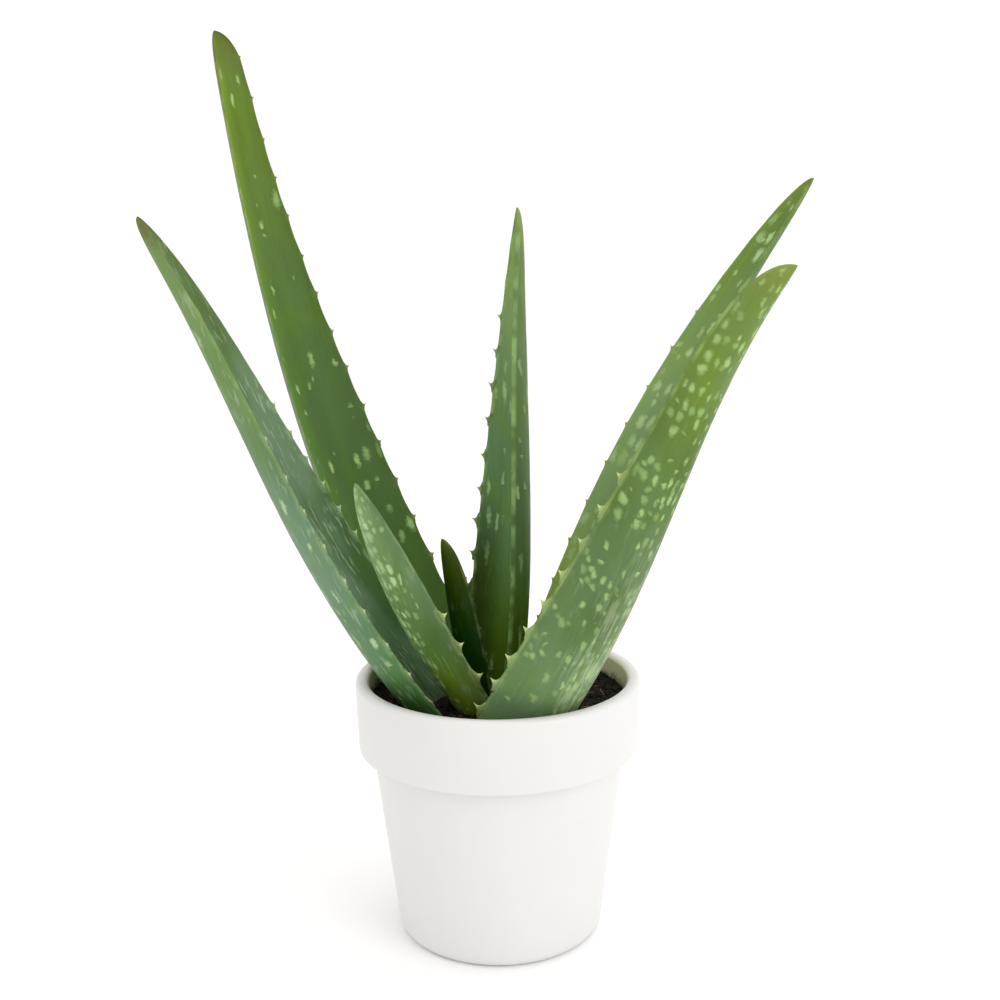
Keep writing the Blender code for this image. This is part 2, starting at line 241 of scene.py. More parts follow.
# %% Mixes, steps and noise
def mix(tree, share, low, high):
    """A value that share of the way from low to high."""
    node = place(tree, "ShaderNodeMix", {0: share, 2: low, 3: high}, clamp_factor=False)
    return Wire(tree, node.outputs[0])


def ramp(tree, value, low, high):
    """0 below low, 1 above high, and a smooth step between."""
    feeds = {"Value": value, "From Min": low, "From Max": high}
    node = place(tree, "ShaderNodeMapRange", feeds, interpolation_type="SMOOTHSTEP")
    return Wire(tree, node.outputs["Result"])


def axes(tree, x, y, z):
    """A vector from three numbers."""
    node = place(tree, "ShaderNodeCombineXYZ", {0: x, 1: y, 2: z})
    return Wire(tree, node.outputs[0])


def parts_of(tree, vector):
    """The three numbers of a vector."""
    split = place(tree, "ShaderNodeSeparateXYZ", {0: vector})
    return [Wire(tree, socket) for socket in split.outputs]


def cloud(tree, spot, scale, detail=2.0, roughness=0.5):
    """Soft noise about one half."""
    feeds = {"Vector": spot, "Scale": scale, "Detail": detail, "Roughness": roughness}
    return Wire(tree, place(tree, "ShaderNodeTexNoise", feeds).outputs[0])


print("short names for nodes:", ", ".join(f.__name__ for f in (mix, ramp, axes, parts_of, cloud)))

# %% [markdown]
# ## Trees with named sockets
# A rule that is used more than once becomes a tree of its own, with named inputs, and is placed in a
# larger tree as one node. The same few lines make a tree for shapes and one for finishes.

# %% Named inputs and outputs
SOCKETS = {
    "number": "NodeSocketFloat", "count": "NodeSocketInt", "vector": "NodeSocketVector",
    "colour": "NodeSocketColor", "mesh": "NodeSocketGeometry", "finish": "NodeSocketMaterial",
    "others": "NodeSocketCollection",
}


def numbers(*labels):
    """Number inputs that start at 0."""
    return {label: ("number",) for label in labels}


def new_tree(name, kind, takes, gives):
    """A node tree with named inputs and outputs. Returns it, its input wires and its output node."""
    tree = bpy.data.node_groups.new(name, kind)
    for label, (sort, *start) in takes.items():
        socket = tree.interface.new_socket(label, in_out="INPUT", socket_type=SOCKETS[sort])
        if start:
            socket.default_value = start[0]
    for label, sort in gives.items():
        tree.interface.new_socket(label, in_out="OUTPUT", socket_type=SOCKETS[sort])
    entry = tree.nodes.new("NodeGroupInput")
    wires = {label: Wire(tree, entry.outputs[label]) for label in takes}
    return tree, wires, tree.nodes.new("NodeGroupOutput")


def use(tree, group, **feeds):
    """Places a node group and returns its outputs as wires; underscores stand for spaces in names."""
    kind = "GeometryNodeGroup" if tree.bl_idname == "GeometryNodeTree" else "ShaderNodeGroup"
    node = tree.nodes.new(kind)
    node.node_tree = group
    for label, value in feeds.items():
        feed(tree, node.inputs[label.replace("_", " ")], value)
    return {socket.name: Wire(tree, socket) for socket in node.outputs}


def pass_on(wires, labels):
    """Arguments that hand inputs of the same name to a group inside."""
    return {label.replace(" ", "_"): wires[label] for label in labels}


print("kinds of socket:", ", ".join(SOCKETS))

# %% [markdown]
# ## How a leaf bends
# An aloe leaf grows in one direction that changes slowly: it leans out, straightens and leans again, and
# it may turn about itself. A few guide values for azimuth, lean and roll, blended from base to tip, say
# all of that. The blend is De Casteljau's: mixes of mixes, which is one Mix node a step.

# %% Guide values and directions
def make_blend_of_four():
    takes = numbers("Place", "A", "B", "C", "D")
    tree, wire, out = new_tree("blend of four", "GeometryNodeTree", takes, {"Value": "number"})
    values = [wire["A"], wire["B"], wire["C"], wire["D"]]
    while len(values) > 1:
        values = [mix(tree, wire["Place"], a, b) for a, b in zip(values, values[1:])]
    feed(tree, out.inputs["Value"], values[0])
    return tree


BEND = numbers("Azimuth Base", "Azimuth Tip", "Lean A", "Lean B", "Lean C", "Lean D", "Roll Base", "Roll Tip")


def make_leaf_directions(blend_of_four):
    takes = numbers("Place") | BEND
    gives = {"Along": "vector", "Normal": "vector", "Across": "vector"}
    tree, wire, out = new_tree("leaf directions", "GeometryNodeTree", takes, gives)
    t = wire["Place"]
    azimuth = mix(tree, t, wire["Azimuth Base"], wire["Azimuth Tip"])
    roll = mix(tree, t, wire["Roll Base"], wire["Roll Tip"])
    lean = use(tree, blend_of_four, Place=t, A=wire["Lean A"], B=wire["Lean B"],
               C=wire["Lean C"], D=wire["Lean D"])["Value"]
    outward = axes(tree, azimuth.do("COSINE"), azimuth.do("SINE"), 0.0)
    across = axes(tree, -azimuth.do("SINE"), azimuth.do("COSINE"), 0.0)
    upward = (0.0, 0.0, 1.0)
    normal = sums(tree, "MULTIPLY", upward, lean.do("SINE")) - outward * lean.do("COSINE")
    along = outward * lean.do("SINE") + sums(tree, "MULTIPLY", upward, lean.do("COSINE"))
    feed(tree, out.inputs["Along"], along)
    feed(tree, out.inputs["Normal"], normal * roll.do("COSINE") + across * roll.do("SINE"))
    feed(tree, out.inputs["Across"], across * roll.do("COSINE") - normal * roll.do("SINE"))
    return tree


BLEND_OF_FOUR = make_blend_of_four()
LEAF_DIRECTIONS = make_leaf_directions(BLEND_OF_FOUR)
print("directions tree:", len(LEAF_DIRECTIONS.nodes), "nodes")

# %% [markdown]
# ## The skin of a leaf
# Across, the leaf is a crescent: a hollow channel above and a full belly below, meeting in two thin
# round margins. Along, it widens, then tapers to a blunt tip. The skin is one grid whose rows are such
# sections. Its midline is the sum of small steps in the direction of growth, which the Accumulate Field
# node adds up row by row. Each point also keeps where it lies on the leaf, for the pattern of the skin.

# %% What a skin takes
MARGIN_EDGE = 0.9 * MM
MARGIN_ROUNDNESS = 60.0      # higher keeps the margin's rounding closer to its edge
BELLY_FULLNESS = 0.75        # below 1, the belly is fuller than a parabola
TIP_SHARPNESS = 20.0         # higher keeps the tip's rounding closer to its end, so it is blunter
CROWDING = 1.5               # above 1, rows crowd towards the tip
ARC_SHARPNESS = 6.0          # higher keeps the arcs between teeth closer to the margin
SWELLS_ACROSS = 45.0         # soft swells of the surface, a metre
SWELLS_ALONG = 22.0

SHAPE = BEND | numbers(
    "Length", "Width A", "Width B", "Width C", "Width D", "Thickness Base", "Thickness Tip",
    "Channel Base", "Channel Tip", "Tip Skew", "Tip Sharpness", "First Tooth Left", "First Tooth Right",
    "Tooth Pitch Left", "Tooth Pitch Right", "Scallop Left", "Scallop Right", "Seed", "Grow")
SHAPE |= {
    "Rows": ("count", 150), "Around": ("count", 48), "Root": ("vector",),
    "Unevenness": ("number", 0.25 * MM),
}
print("a skin takes:", len(SHAPE), "values")

# %% [markdown]
# ## Rules of the skin
# Each part of the form is a short rule: where a row stands, where its midline runs, how deep the arcs of
# the margin are, and how high the section lies at each place.

# %% Rules of the skin
def store(tree, mesh, name, value, kind="FLOAT"):
    """Keeps a value on each point of a mesh under a name."""
    feeds = {"Geometry": mesh, "Name": name, "Value": value}
    node = place(tree, "GeometryNodeStoreNamedAttribute", data_type=kind, domain="POINT")
    for label, wire in feeds.items():
        feed(tree, node.inputs[label], wire)
    return Wire(tree, node.outputs["Geometry"])


def share_of_length(row, rows):
    """How far up the leaf a row stands; the first two rows close and open the base."""
    step = (row - 1.0).do("MAXIMUM", 0.0) / (rows - 2.0)
    return 1.0 - (1.0 - step) ** CROWDING


def midline_of(tree, wire, directions, t, before, column):
    """Small steps in the direction of growth, added up from the root."""
    midway = use(tree, directions, Place=(t + before) * 0.5, **pass_on(wire, BEND))
    steps = place(tree, "GeometryNodeAccumulateField", data_type="FLOAT_VECTOR")
    feed(tree, steps.inputs["Value"], midway["Along"] * ((t - before) * wire["Length"]))
    feed(tree, steps.inputs["Group ID"], column)
    return Wire(tree, steps.outputs["Leading"]) + wire["Root"]


def margin_arcs(tree, wire, along, u):
    """How deep the margin is hollowed out between two teeth."""
    on_right = u.do("GREATER_THAN", 0.0)
    first, pitch, deep = (mix(tree, on_right, wire[label + " Left"], wire[label + " Right"])
                          for label in ("First Tooth", "Tooth Pitch", "Scallop"))
    between_teeth = ((along - first) / pitch * math.pi).do("SINE").do("ABSOLUTE")
    return deep * between_teeth


def section_height(tree, wire, t, u, spot, half, closing):
    """Height over the midline: the channel where the spot is above, the belly where it is below."""
    over, along, above = spot
    arch = 1.0 - u * u
    rounding = (1.0 - u.do("ABSOLUTE") ** MARGIN_ROUNDNESS).do("MAXIMUM", 0.0).do("SQRT")
    hollow = mix(tree, t, wire["Channel Base"], wire["Channel Tip"]) * 2.0 * half * arch
    thick = mix(tree, t, wire["Thickness Base"], wire["Thickness Tip"]) * closing
    belly = thick * arch.do("MAXIMUM", 0.0) ** BELLY_FULLNESS
    edge = closing * (0.5 * MARGIN_EDGE)
    lumps = axes(tree, over * SWELLS_ACROSS, along * SWELLS_ALONG, above * 9.0 + wire["Seed"])
    swell = (cloud(tree, lumps, 1.0) - 0.5) * 2.0 * wire["Unevenness"] * closing * arch
    upper = edge * rounding - edge - hollow + wire["Grow"] + swell
    lower = -edge - edge * rounding - hollow - belly - wire["Grow"] - swell
    return mix(tree, above, lower, upper)


print("rows and columns of a leaf:", SHAPE["Rows"][1], SHAPE["Around"][1])

# %% [markdown]
# ## One grid becomes a skin
# The grid's rows are sections and its columns run round them, so a point's number says where it belongs.
# The first row closes the base and the last one is the tip. All other rows are open rings.

# %% The tree of the skin
def make_leaf_skin(blend_of_four, directions):
    gives = {"Mesh": "mesh", "Across": "vector", "Normal": "vector"}
    tree, wire, out = new_tree("leaf skin", "GeometryNodeTree", SHAPE, gives)
    rows, columns = wire["Rows"], wire["Around"] + 1.0
    index = Wire(tree, place(tree, "GeometryNodeInputIndex").outputs[0])
    row = (index / columns).do("FLOOR")
    column = index.do("MODULO", columns)
    t = share_of_length(row, rows)
    here = use(tree, directions, Place=t, **pass_on(wire, BEND))
    midline = midline_of(tree, wire, directions, t, share_of_length(row - 1.0, rows), column)

    turn = column * (2 * math.pi) / wire["Around"]
    u = -turn.do("COSINE")                             # -1 at the left margin, 1 at the right
    above = turn.do("SINE").do("GREATER_THAN", 0.001)  # the margins themselves count as below
    closing = (1.0 - t ** wire["Tip Sharpness"]).do("MAXIMUM", 0.0).do("SQRT")
    width = use(tree, blend_of_four, Place=t, A=wire["Width A"], B=wire["Width B"],
                C=wire["Width C"], D=wire["Width D"])["Value"]
    half = width * 0.5 * closing
    along = t * wire["Length"]
    scallop = margin_arcs(tree, wire, along, u) * closing * (1.0 - t * 0.5)
    over = u * (half - scallop * u.do("ABSOLUTE") ** ARC_SHARPNESS)
    height = section_height(tree, wire, t, u, (over, along, above), half, closing)

    at_tip = row.do("GREATER_THAN", rows - 1.5)
    open_ring = row.do("GREATER_THAN", 0.5) * (1.0 - at_tip)
    offset = (here["Across"] * (over + u * wire["Grow"]) + here["Normal"] * height) * open_ring
    offset = offset + here["Across"] * (wire["Tip Skew"] * (width * 0.5 - half))
    offset = offset + here["Along"] * (wire["Grow"] * at_tip)
    grid = place(tree, "GeometryNodeMeshGrid", {"Vertices X": rows, "Vertices Y": columns})
    moved = place(tree, "GeometryNodeSetPosition", {"Geometry": Wire(tree, grid.outputs[0])})
    feed(tree, moved.inputs["Position"], midline + offset)
    mesh = store(tree, Wire(tree, moved.outputs[0]), "blade", axes(tree, over, along, above), "FLOAT_VECTOR")
    mesh = store(tree, mesh, "share", t)
    mesh = store(tree, mesh, "rim", (half - scallop - over.do("ABSOLUTE")).do("MAXIMUM", 0.0))
    feed(tree, out.inputs["Mesh"], store(tree, mesh, "tooth", 0.0))
    feed(tree, out.inputs["Across"], here["Across"])
    feed(tree, out.inputs["Normal"], here["Normal"])
    return tree


LEAF_SKIN = make_leaf_skin(BLEND_OF_FOUR, LEAF_DIRECTIONS)
print("skin tree:", len(LEAF_SKIN.nodes), "nodes")

# %% [markdown]
# ## Teeth
# The margins carry soft thorns: a broad foot that flares out of the margin, and a point hooked towards
# the tip. One tooth is a cone with a few rings, drawn in with height and leaned over. Copies stand on
# each margin at an even pitch with a small seeded jitter, shrink towards the tip, and are left out in
# the soil or where another leaf lies against the margin, as the leaf outside would have pressed them off.
#
# The cone is worked in its own unit size: it is one high, and a copy is scaled in three directions.

# %% One tooth
TOOTH_HEIGHT = 4.0 * MM
TOOTH_LENGTH = 10.0 * MM     # of the low flare that the horn grows from
TOOTH_HORN = 0.30            # share of that length that the horn itself takes
TOOTH_FLARE = 5.0            # higher draws the flare in lower down
TOOTH_THICKNESS = 1.5 * MM
TOOTH_ROOT = 0.4             # how deep it is sunk into the margin, in heights
TOOTH_HOOK = 0.15            # how far the point leans over, as a share of the flare
TOOTH_SLANT = math.radians(2)
TOOTH_TAPER = 0.5            # how much smaller a tooth would be at the very tip of the leaf
TOOTH_GLOW = 2.4 * MM        # the skin pales this far round a tooth
GLOW_SHARE = 0.16            # how pale it is beside the foot; the point of the tooth goes up to 1
TOOTH_ROOM = 2.2 * MM        # a tooth needs this much air to the next leaf
TOOTH_JITTER = 0.04          # in pitches


def make_tooth():
    """A tooth one high, its foot one long and one thick at the margin, standing on the origin."""
    tree, _, out = new_tree("one tooth", "GeometryNodeTree", {}, {"Mesh": "mesh"})
    feeds = {"Vertices": 8, "Side Segments": 7, "Radius Top": 0.0, "Radius Bottom": 0.5, "Depth": 1.0}
    cone = place(tree, "GeometryNodeMeshCone", feeds)
    position = Wire(tree, place(tree, "GeometryNodeInputPosition").outputs[0])
    x, y, z = parts_of(tree, position)
    rise = z * (1.0 + TOOTH_ROOT) - TOOTH_ROOT
    over = rise.do("MAXIMUM", 0.0)
    under = rise.do("MINIMUM", 0.0)
    cone_radius = (1.0 - z).do("MAXIMUM", 0.001)
    left_over = (1.0 - over).do("MAXIMUM", 0.0)
    length = (left_over * TOOTH_HORN + left_over ** TOOTH_FLARE * (1.0 - TOOTH_HORN)) / cone_radius
    thickness = left_over ** 0.9 * (1.0 + under * 1.6) / cone_radius
    hooked = axes(tree, x * length + over * over * TOOTH_HOOK, y * thickness, rise)
    moved = place(tree, "GeometryNodeSetPosition", {"Geometry": Wire(tree, cone.outputs["Mesh"]),
                                                    "Position": hooked})
    mesh = store(tree, Wire(tree, moved.outputs[0]), "tooth", GLOW_SHARE + over * (1.0 - GLOW_SHARE))
    feed(tree, out.inputs["Mesh"], mesh)
    return tree


ONE_TOOTH = make_tooth()
print("one tooth:", len(ONE_TOOTH.nodes), "nodes,", round(1000 * TOOTH_HEIGHT, 1), "mm high at full size")

# %% [markdown]
# ## A row of teeth
# On the plant a tooth forms at each arc of the margin, so the teeth stand where the arcs meet. The tree
# finds each place by its distance along the leaf, reads the two rows of the skin about it, and sets the
# tooth on the line between them, square to the margin. A ray and a distance tell it where leaves touch.

# %% Reading a mesh, and room for a tooth
def named(tree, name, kind="FLOAT"):
    """A value stored on a mesh under a name."""
    node = place(tree, "GeometryNodeInputNamedAttribute", data_type=kind)
    node.inputs["Name"].default_value = name
    return Wire(tree, next(s for s in node.outputs if s.name == "Attribute" and s.enabled))


def sample(tree, mesh, value, index, kind="FLOAT_VECTOR"):
    """A value of a mesh, read at one of its points."""
    node = place(tree, "GeometryNodeSampleIndex", data_type=kind, domain="POINT", clamp=True)
    for label, wire in {"Geometry": mesh, "Value": value, "Index": index}.items():
        feed(tree, node.inputs[label], wire)
    return Wire(tree, node.outputs["Value"])


def chance(tree, low, high, seed):
    """A random number for each point, the same at each run."""
    node = place(tree, "FunctionNodeRandomValue", data_type="FLOAT")
    for label, value in {"Min": low, "Max": high, "Seed": seed}.items():
        feed(tree, next(s for s in node.inputs if s.name == label and s.enabled), value)
    return Wire(tree, next(s for s in node.outputs if s.enabled))


def is_crowded(tree, point, others, room):
    """True near another leaf or inside it, where a ray meets a face from behind."""
    near = place(tree, "GeometryNodeProximity", target_element="FACES")
    feed(tree, near.inputs["Geometry"], others)
    feed(tree, near.inputs["Sample Position"], point)
    way = (0.31, 0.23, 1.0)      # askew, so that it seldom runs along an edge
    ray = place(tree, "GeometryNodeRaycast", {"Target Geometry": others, "Source Position": point,
                                              "Ray Direction": way, "Ray Length": 2.0}, mapping="NEAREST")
    behind = sums(tree, "DOT_PRODUCT", Wire(tree, ray.outputs["Hit Normal"]), way).do("GREATER_THAN", 0.0)
    inside = behind * Wire(tree, ray.outputs["Is Hit"])
    return Wire(tree, near.outputs["Distance"]).do("LESS_THAN", room) + inside


print("a tooth needs", round(1000 * TOOTH_ROOM, 1), "mm of air")

# %% [markdown]
# ## Where a tooth stands
# Each tooth is set on the line between two rows of the skin. It is left out if its foot or its point
# would be in the soil or against another leaf.

# %% Where a tooth stands
def stand_on_margin(tree, wire, t):
    """For each tooth: a skin point beside it, its foot, and the ways along and out of the margin there."""
    skin, around = wire["Skin"], wire["Around"]
    row = (1.0 - (1.0 - t).do("MAXIMUM", 0.0) ** (1 / CROWDING)) * (wire["Rows"] - 2.0) + 1.0
    low = row.do("FLOOR")
    beside = low * (around + 1.0) + (wire["Margin"] * 0.5 + 0.5) * around * 0.5
    position = Wire(tree, place(tree, "GeometryNodeInputPosition").outputs[0])
    start = sample(tree, skin, position, beside)
    end = sample(tree, skin, position, beside + around + 1.0)
    foot = start + (end - start) * (row - low)
    along = (end - start).do("NORMALIZE")
    lift = (mix(tree, t, wire["Channel Base"], wire["Channel Tip"]) * 4.0).do("ARCTANGENT")
    across = sample(tree, skin, wire["Across"], beside) * (wire["Margin"] * lift.do("COSINE"))
    across = across + sample(tree, skin, wire["Normal"], beside) * lift.do("SINE")
    outward = (across - along * sums(tree, "DOT_PRODUCT", across, along)).do("NORMALIZE")
    return beside, foot, along, outward


def has_no_room(tree, wire, foot, point):
    """True for a tooth in the soil or against another leaf."""
    height = sums(tree, "DOT_PRODUCT", foot, (0.0, 0.0, 1.0))
    low_down = height.do("LESS_THAN", wire["Soil Level"] + TOOTH_HEIGHT)
    crowded = is_crowded(tree, foot, wire["Others"], TOOTH_ROOM)
    crowded = crowded + is_crowded(tree, point, wire["Others"], TOOTH_ROOM)
    return (low_down + crowded).do("GREATER_THAN", 0.5)


print("no tooth below", round((SOIL_LEVEL + TOOTH_HEIGHT) / MM, 1), "mm")

# %% [markdown]
# ## Teeth along a margin
# A row of teeth is points first: each is set on the margin, marked with the place on the skin beside it,
# and becomes a tooth that is turned and scaled by what was read there.

# %% Teeth along one margin
def make_row_of_teeth(tooth):
    takes = {
        "Skin": ("mesh",), "Across": ("vector",), "Normal": ("vector",), "Others": ("mesh",),
        "Rows": ("count",), "Around": ("count",),
    }
    takes |= numbers("Length", "Margin", "First", "Pitch", "Size", "Seed", "Channel Base", "Channel Tip",
                     "Soil Level", "Toothed Share")
    tree, wire, out = new_tree("row of teeth", "GeometryNodeTree", takes, {"Mesh": "mesh"})
    length, skin = wire["Length"], wire["Skin"]
    count = ((length * wire["Toothed Share"] - wire["First"]) / wire["Pitch"]).do("FLOOR") + 1.0
    points = place(tree, "GeometryNodePoints", {"Count": count})
    index = Wire(tree, place(tree, "GeometryNodeInputIndex").outputs[0])
    jitter = chance(tree, -TOOTH_JITTER, TOOTH_JITTER, wire["Seed"])
    t = (wire["First"] + (index + jitter) * wire["Pitch"]) / length
    beside, foot, along, outward = stand_on_margin(tree, wire, t)
    tip_way = outward * math.cos(TOOTH_SLANT) + along * math.sin(TOOTH_SLANT)
    size = wire["Size"] * (1.0 - t * TOOTH_TAPER) * chance(tree, 0.85, 1.1, wire["Seed"] + 1.0)
    drop = has_no_room(tree, wire, foot, foot + tip_way * size * TOOTH_HEIGHT)

    moved = place(tree, "GeometryNodeSetPosition", {"Geometry": Wire(tree, points.outputs[0]),
                                                    "Position": foot})
    marked = Wire(tree, moved.outputs[0])
    for label, kind in (("blade", "FLOAT_VECTOR"), ("share", "FLOAT")):
        value = sample(tree, skin, named(tree, label, kind), beside, kind)
        marked = store(tree, marked, label, value, kind)
    turn = place(tree, "FunctionNodeAxesToRotation", {"Primary Axis": tip_way, "Secondary Axis": along},
                 primary_axis="Z", secondary_axis="X")
    scale = axes(tree, size * TOOTH_LENGTH, size * TOOTH_THICKNESS, size * TOOTH_HEIGHT)
    copies = place(tree, "GeometryNodeInstanceOnPoints", {
        "Points": marked, "Instance": use(tree, tooth)["Mesh"], "Selection": 1.0 - drop, "Scale": scale,
        "Rotation": Wire(tree, turn.outputs[0])})
    real = place(tree, "GeometryNodeRealizeInstances", {"Geometry": Wire(tree, copies.outputs[0])})
    feed(tree, out.inputs["Mesh"], Wire(tree, real.outputs[0]))
    return tree


ROW_OF_TEETH = make_row_of_teeth(ONE_TOOTH)
print("teeth tree:", len(ROW_OF_TEETH.nodes), "nodes")

# %% [markdown]
# ## A whole leaf
# Near the heart the leaves wrap round each other, and an outer leaf gives way to the inner ones. So each
# leaf is cut by slightly grown skins of the leaves inside it and of the stem, and only then joined with
# its teeth, all by the Manifold Boolean, which is quick and keeps the stored places on the leaf.

# %% Cutting, joining and finishing
def close_skin(tree, mesh):
    """Merges the seam, the base and the tip of a skin."""
    node = place(tree, "GeometryNodeMergeByDistance", {"Geometry": mesh, "Distance": MERGE})
    return Wire(tree, node.outputs[0])


def others_in(tree, collection):
    """The pieces of a collection, each as its own instance."""
    node = place(tree, "GeometryNodeCollectionInfo", {"Separate Children": True})
    feed(tree, node.inputs["Collection"], collection)
    return Wire(tree, node.outputs[0])


def made_real(tree, mesh):
    return Wire(tree, place(tree, "GeometryNodeRealizeInstances", {"Geometry": mesh}).outputs[0])


def cut_clear(tree, mesh, cutters):
    """What is left of a mesh outside the cutters."""
    cut = place(tree, "GeometryNodeMeshBoolean", operation="DIFFERENCE", solver="MANIFOLD")
    feed(tree, cut.inputs["Mesh 1"], mesh)
    feed(tree, cut.inputs["Mesh 2"], cutters)
    return Wire(tree, cut.outputs["Mesh"])


def hand_out(tree, out, mesh, finish):
    """The end of a tree: smooth shading, real copies and the finish."""
    smooth = place(tree, "GeometryNodeSetShadeSmooth", {"Geometry": mesh})
    real = made_real(tree, Wire(tree, smooth.outputs[0]))
    coat = place(tree, "GeometryNodeSetMaterial", {"Geometry": real, "Material": finish})
    feed(tree, out.inputs["Mesh"], Wire(tree, coat.outputs[0]))


print("points closer than", MERGE / MM, "mm are merged")

# %% [markdown]
# ## Two trees
# A guide is the bare skin, closed. A leaf is the same skin, cut clear of its inner neighbours and joined
# with the teeth of both margins. Near a tooth the skin is marked, so that its finish can pale there.

# %% Trees for a guide and for a leaf
def make_guide_tree(skin):
    tree, wire, out = new_tree("leaf guide", "GeometryNodeTree", SHAPE, {"Mesh": "mesh"})
    feed(tree, out.inputs["Mesh"], close_skin(tree, use(tree, skin, **pass_on(wire, SHAPE))["Mesh"]))
    return tree


TEETH = {
    "Tooth Size Left": ("number", 1.0), "Tooth Size Right": ("number", 1.0),
    "Toothed Share": ("number", 0.97), "Soil Level": ("number",),
}


def teeth_of_both_margins(tree, wire, skin, teeth_group):
    others = made_real(tree, others_in(tree, wire["Other Leaves"]))
    same = ("Rows", "Around", "Length", "Channel Base", "Channel Tip", "Soil Level", "Toothed Share")
    thorns = place(tree, "GeometryNodeJoinGeometry")
    for side, margin in (("Left", -1.0), ("Right", 1.0)):
        teeth = use(
            tree, teeth_group, Skin=skin["Mesh"], Across=skin["Across"], Normal=skin["Normal"],
            Others=others, Margin=margin, First=wire["First Tooth " + side],
            Pitch=wire["Tooth Pitch " + side], Size=wire["Tooth Size " + side],
            Seed=wire["Seed"] + margin * 2.0, **pass_on(wire, same))
        tree.links.new(teeth["Mesh"].socket, thorns.inputs[0])
    return Wire(tree, thorns.outputs[0])


def make_leaf_tree(skin_group, teeth_group):
    takes = {**SHAPE, **TEETH}
    takes |= {"Inner Leaves": ("others",), "Other Leaves": ("others",), "Finish": ("finish",)}
    tree, wire, out = new_tree("aloe leaf", "GeometryNodeTree", takes, {"Mesh": "mesh"})
    skin = use(tree, skin_group, **pass_on(wire, SHAPE))
    blade = cut_clear(tree, close_skin(tree, skin["Mesh"]), others_in(tree, wire["Inner Leaves"]))
    thorns = teeth_of_both_margins(tree, wire, skin, teeth_group)
    near = place(tree, "GeometryNodeProximity", target_element="FACES")
    feed(tree, near.inputs["Geometry"], thorns)
    glow = ramp(tree, Wire(tree, near.outputs["Distance"]), TOOTH_GLOW, 0.0) * GLOW_SHARE
    join = place(tree, "GeometryNodeMeshBoolean", operation="UNION", solver="MANIFOLD")
    for solid in (store(tree, blade, "tooth", glow), thorns):
        tree.links.new(solid.socket, join.inputs["Mesh 2"])
    hand_out(tree, out, Wire(tree, join.outputs["Mesh"]), wire["Finish"])
    return tree


GUIDE_TREE = make_guide_tree(LEAF_SKIN)
LEAF_TREE = make_leaf_tree(LEAF_SKIN, ROW_OF_TEETH)
print("leaf tree takes:", len(LEAF_TREE.interface.items_tree), "sockets")

# %% [markdown]
# ## Seven leaves
# These are the sizes of the seven leaves, from the heart outwards: where each starts on the stem in
# millimetres, how it bends in degrees, and how wide, thick and hollow it is from base to tip. They are
# the sizes of the solids, so each fine leaf lies in the skin of its solid. Only the tip of the tall leaf
# is made blunter.

# %% The recipes
LEAVES = {
    "leaf_heart": dict(
        root=(-4.7, -9.5, 103), azimuth=(209, 220), lean=(12, 14, 10, 18), roll=(-1, -12), length=88,
        width=(18.5, 20.5, 19.5, 6), thickness=(5, 2), channel=(0.15, 0.15), tip_skew=-0.9,
        tooth_pitch=(12, 12), first_tooth=(17, 22),
        tooth_size=(0.35, 0.35), toothed=0.8, scallop=(0.2, 0.2)),
    "leaf_upright": dict(
        root=(-9.5, -9, 100), azimuth=(29, 16.5), lean=(8, 3, 3, 7), roll=(-5, 2), length=230,
        width=(32.5, 49.5, 19.5, 6), thickness=(10, 2), channel=(0.28, 0.29), tip_skew=-0.7,
        tooth_pitch=(16, 15.5), first_tooth=(22, 28),
        tooth_size=(0.25, 0.9), toothed=0.85, scallop=(0.1, 1.8)),
    "leaf_front_small": dict(
        root=(-1.5, -9.7, 98), azimuth=(218.5, 234), lean=(36, 36, 27, 29.5), roll=(-2, -12), length=145.5,
        width=(24, 31.5, 27.5, 5), thickness=(5.5, 2.2), channel=(0.11, 0.12), tip_skew=0.0,
        tooth_pitch=(17, 18), first_tooth=(27, 22),
        tooth_size=(0.3, 1.1), toothed=0.58, scallop=(0.0, 0.4)),
    "leaf_right_back": dict(
        root=(-2.8, -8, 92), azimuth=(5, 24), lean=(25.5, 18, 40, 40.5), roll=(8.5, -13.5), length=293.5,
        width=(36, 44.5, 24.5, 9), thickness=(10, 3), channel=(0.20, 0.18), tip_skew=-1.0,
        tooth_pitch=(19, 20), first_tooth=(27, 36),
        tooth_size=(0.5, 0.6), toothed=0.75, scallop=(0.1, 0.4)),
    "leaf_left_tall": dict(
        root=(-6.5, -3, 94), azimuth=(132, 138.5), lean=(47.5, 32, 25, 13.5), roll=(0, -2.5), length=383,
        width=(33.5, 70, 22, 17.8), thickness=(11.5, 3), channel=(0.23, 0.24), tip_skew=0.7,
        tip_sharpness=48.0, tooth_pitch=(21.3, 18.5), first_tooth=(30, 31),
        tooth_size=(0.6, 0.4), toothed=0.97, scallop=(1.1, 0.2)),
    "leaf_left_low": dict(
        root=(-3.8, -8.8, 92), azimuth=(192, 192), lean=(37, 36.5, 13, 37.5), roll=(19.5, 17), length=273.5,
        width=(39.5, 61.5, 21.5, 10.5), thickness=(11.2, 2.7), channel=(0.22, 0.27), tip_skew=0.5,
        tooth_pitch=(13.9, 16.4), first_tooth=(13, 24),
        tooth_size=(0.8, 0.9), toothed=0.68, scallop=(0.4, 0.4)),
    "leaf_right_front": dict(
        root=(-2.6, -10, 90), azimuth=(-42.5, -39), lean=(37, 36, 17, 40), roll=(12.5, 18), length=257,
        width=(40, 63, 16.5, 21), thickness=(11.8, 3), channel=(0.27, 0.18), tip_skew=1.0,
        tooth_pitch=(16, 16), first_tooth=(13.5, 20),
        tooth_size=(1.05, 0.4), toothed=0.62, scallop=(0.5, 0.1)),
}
print("leaves:", {name: recipe["length"] for name, recipe in LEAVES.items()})

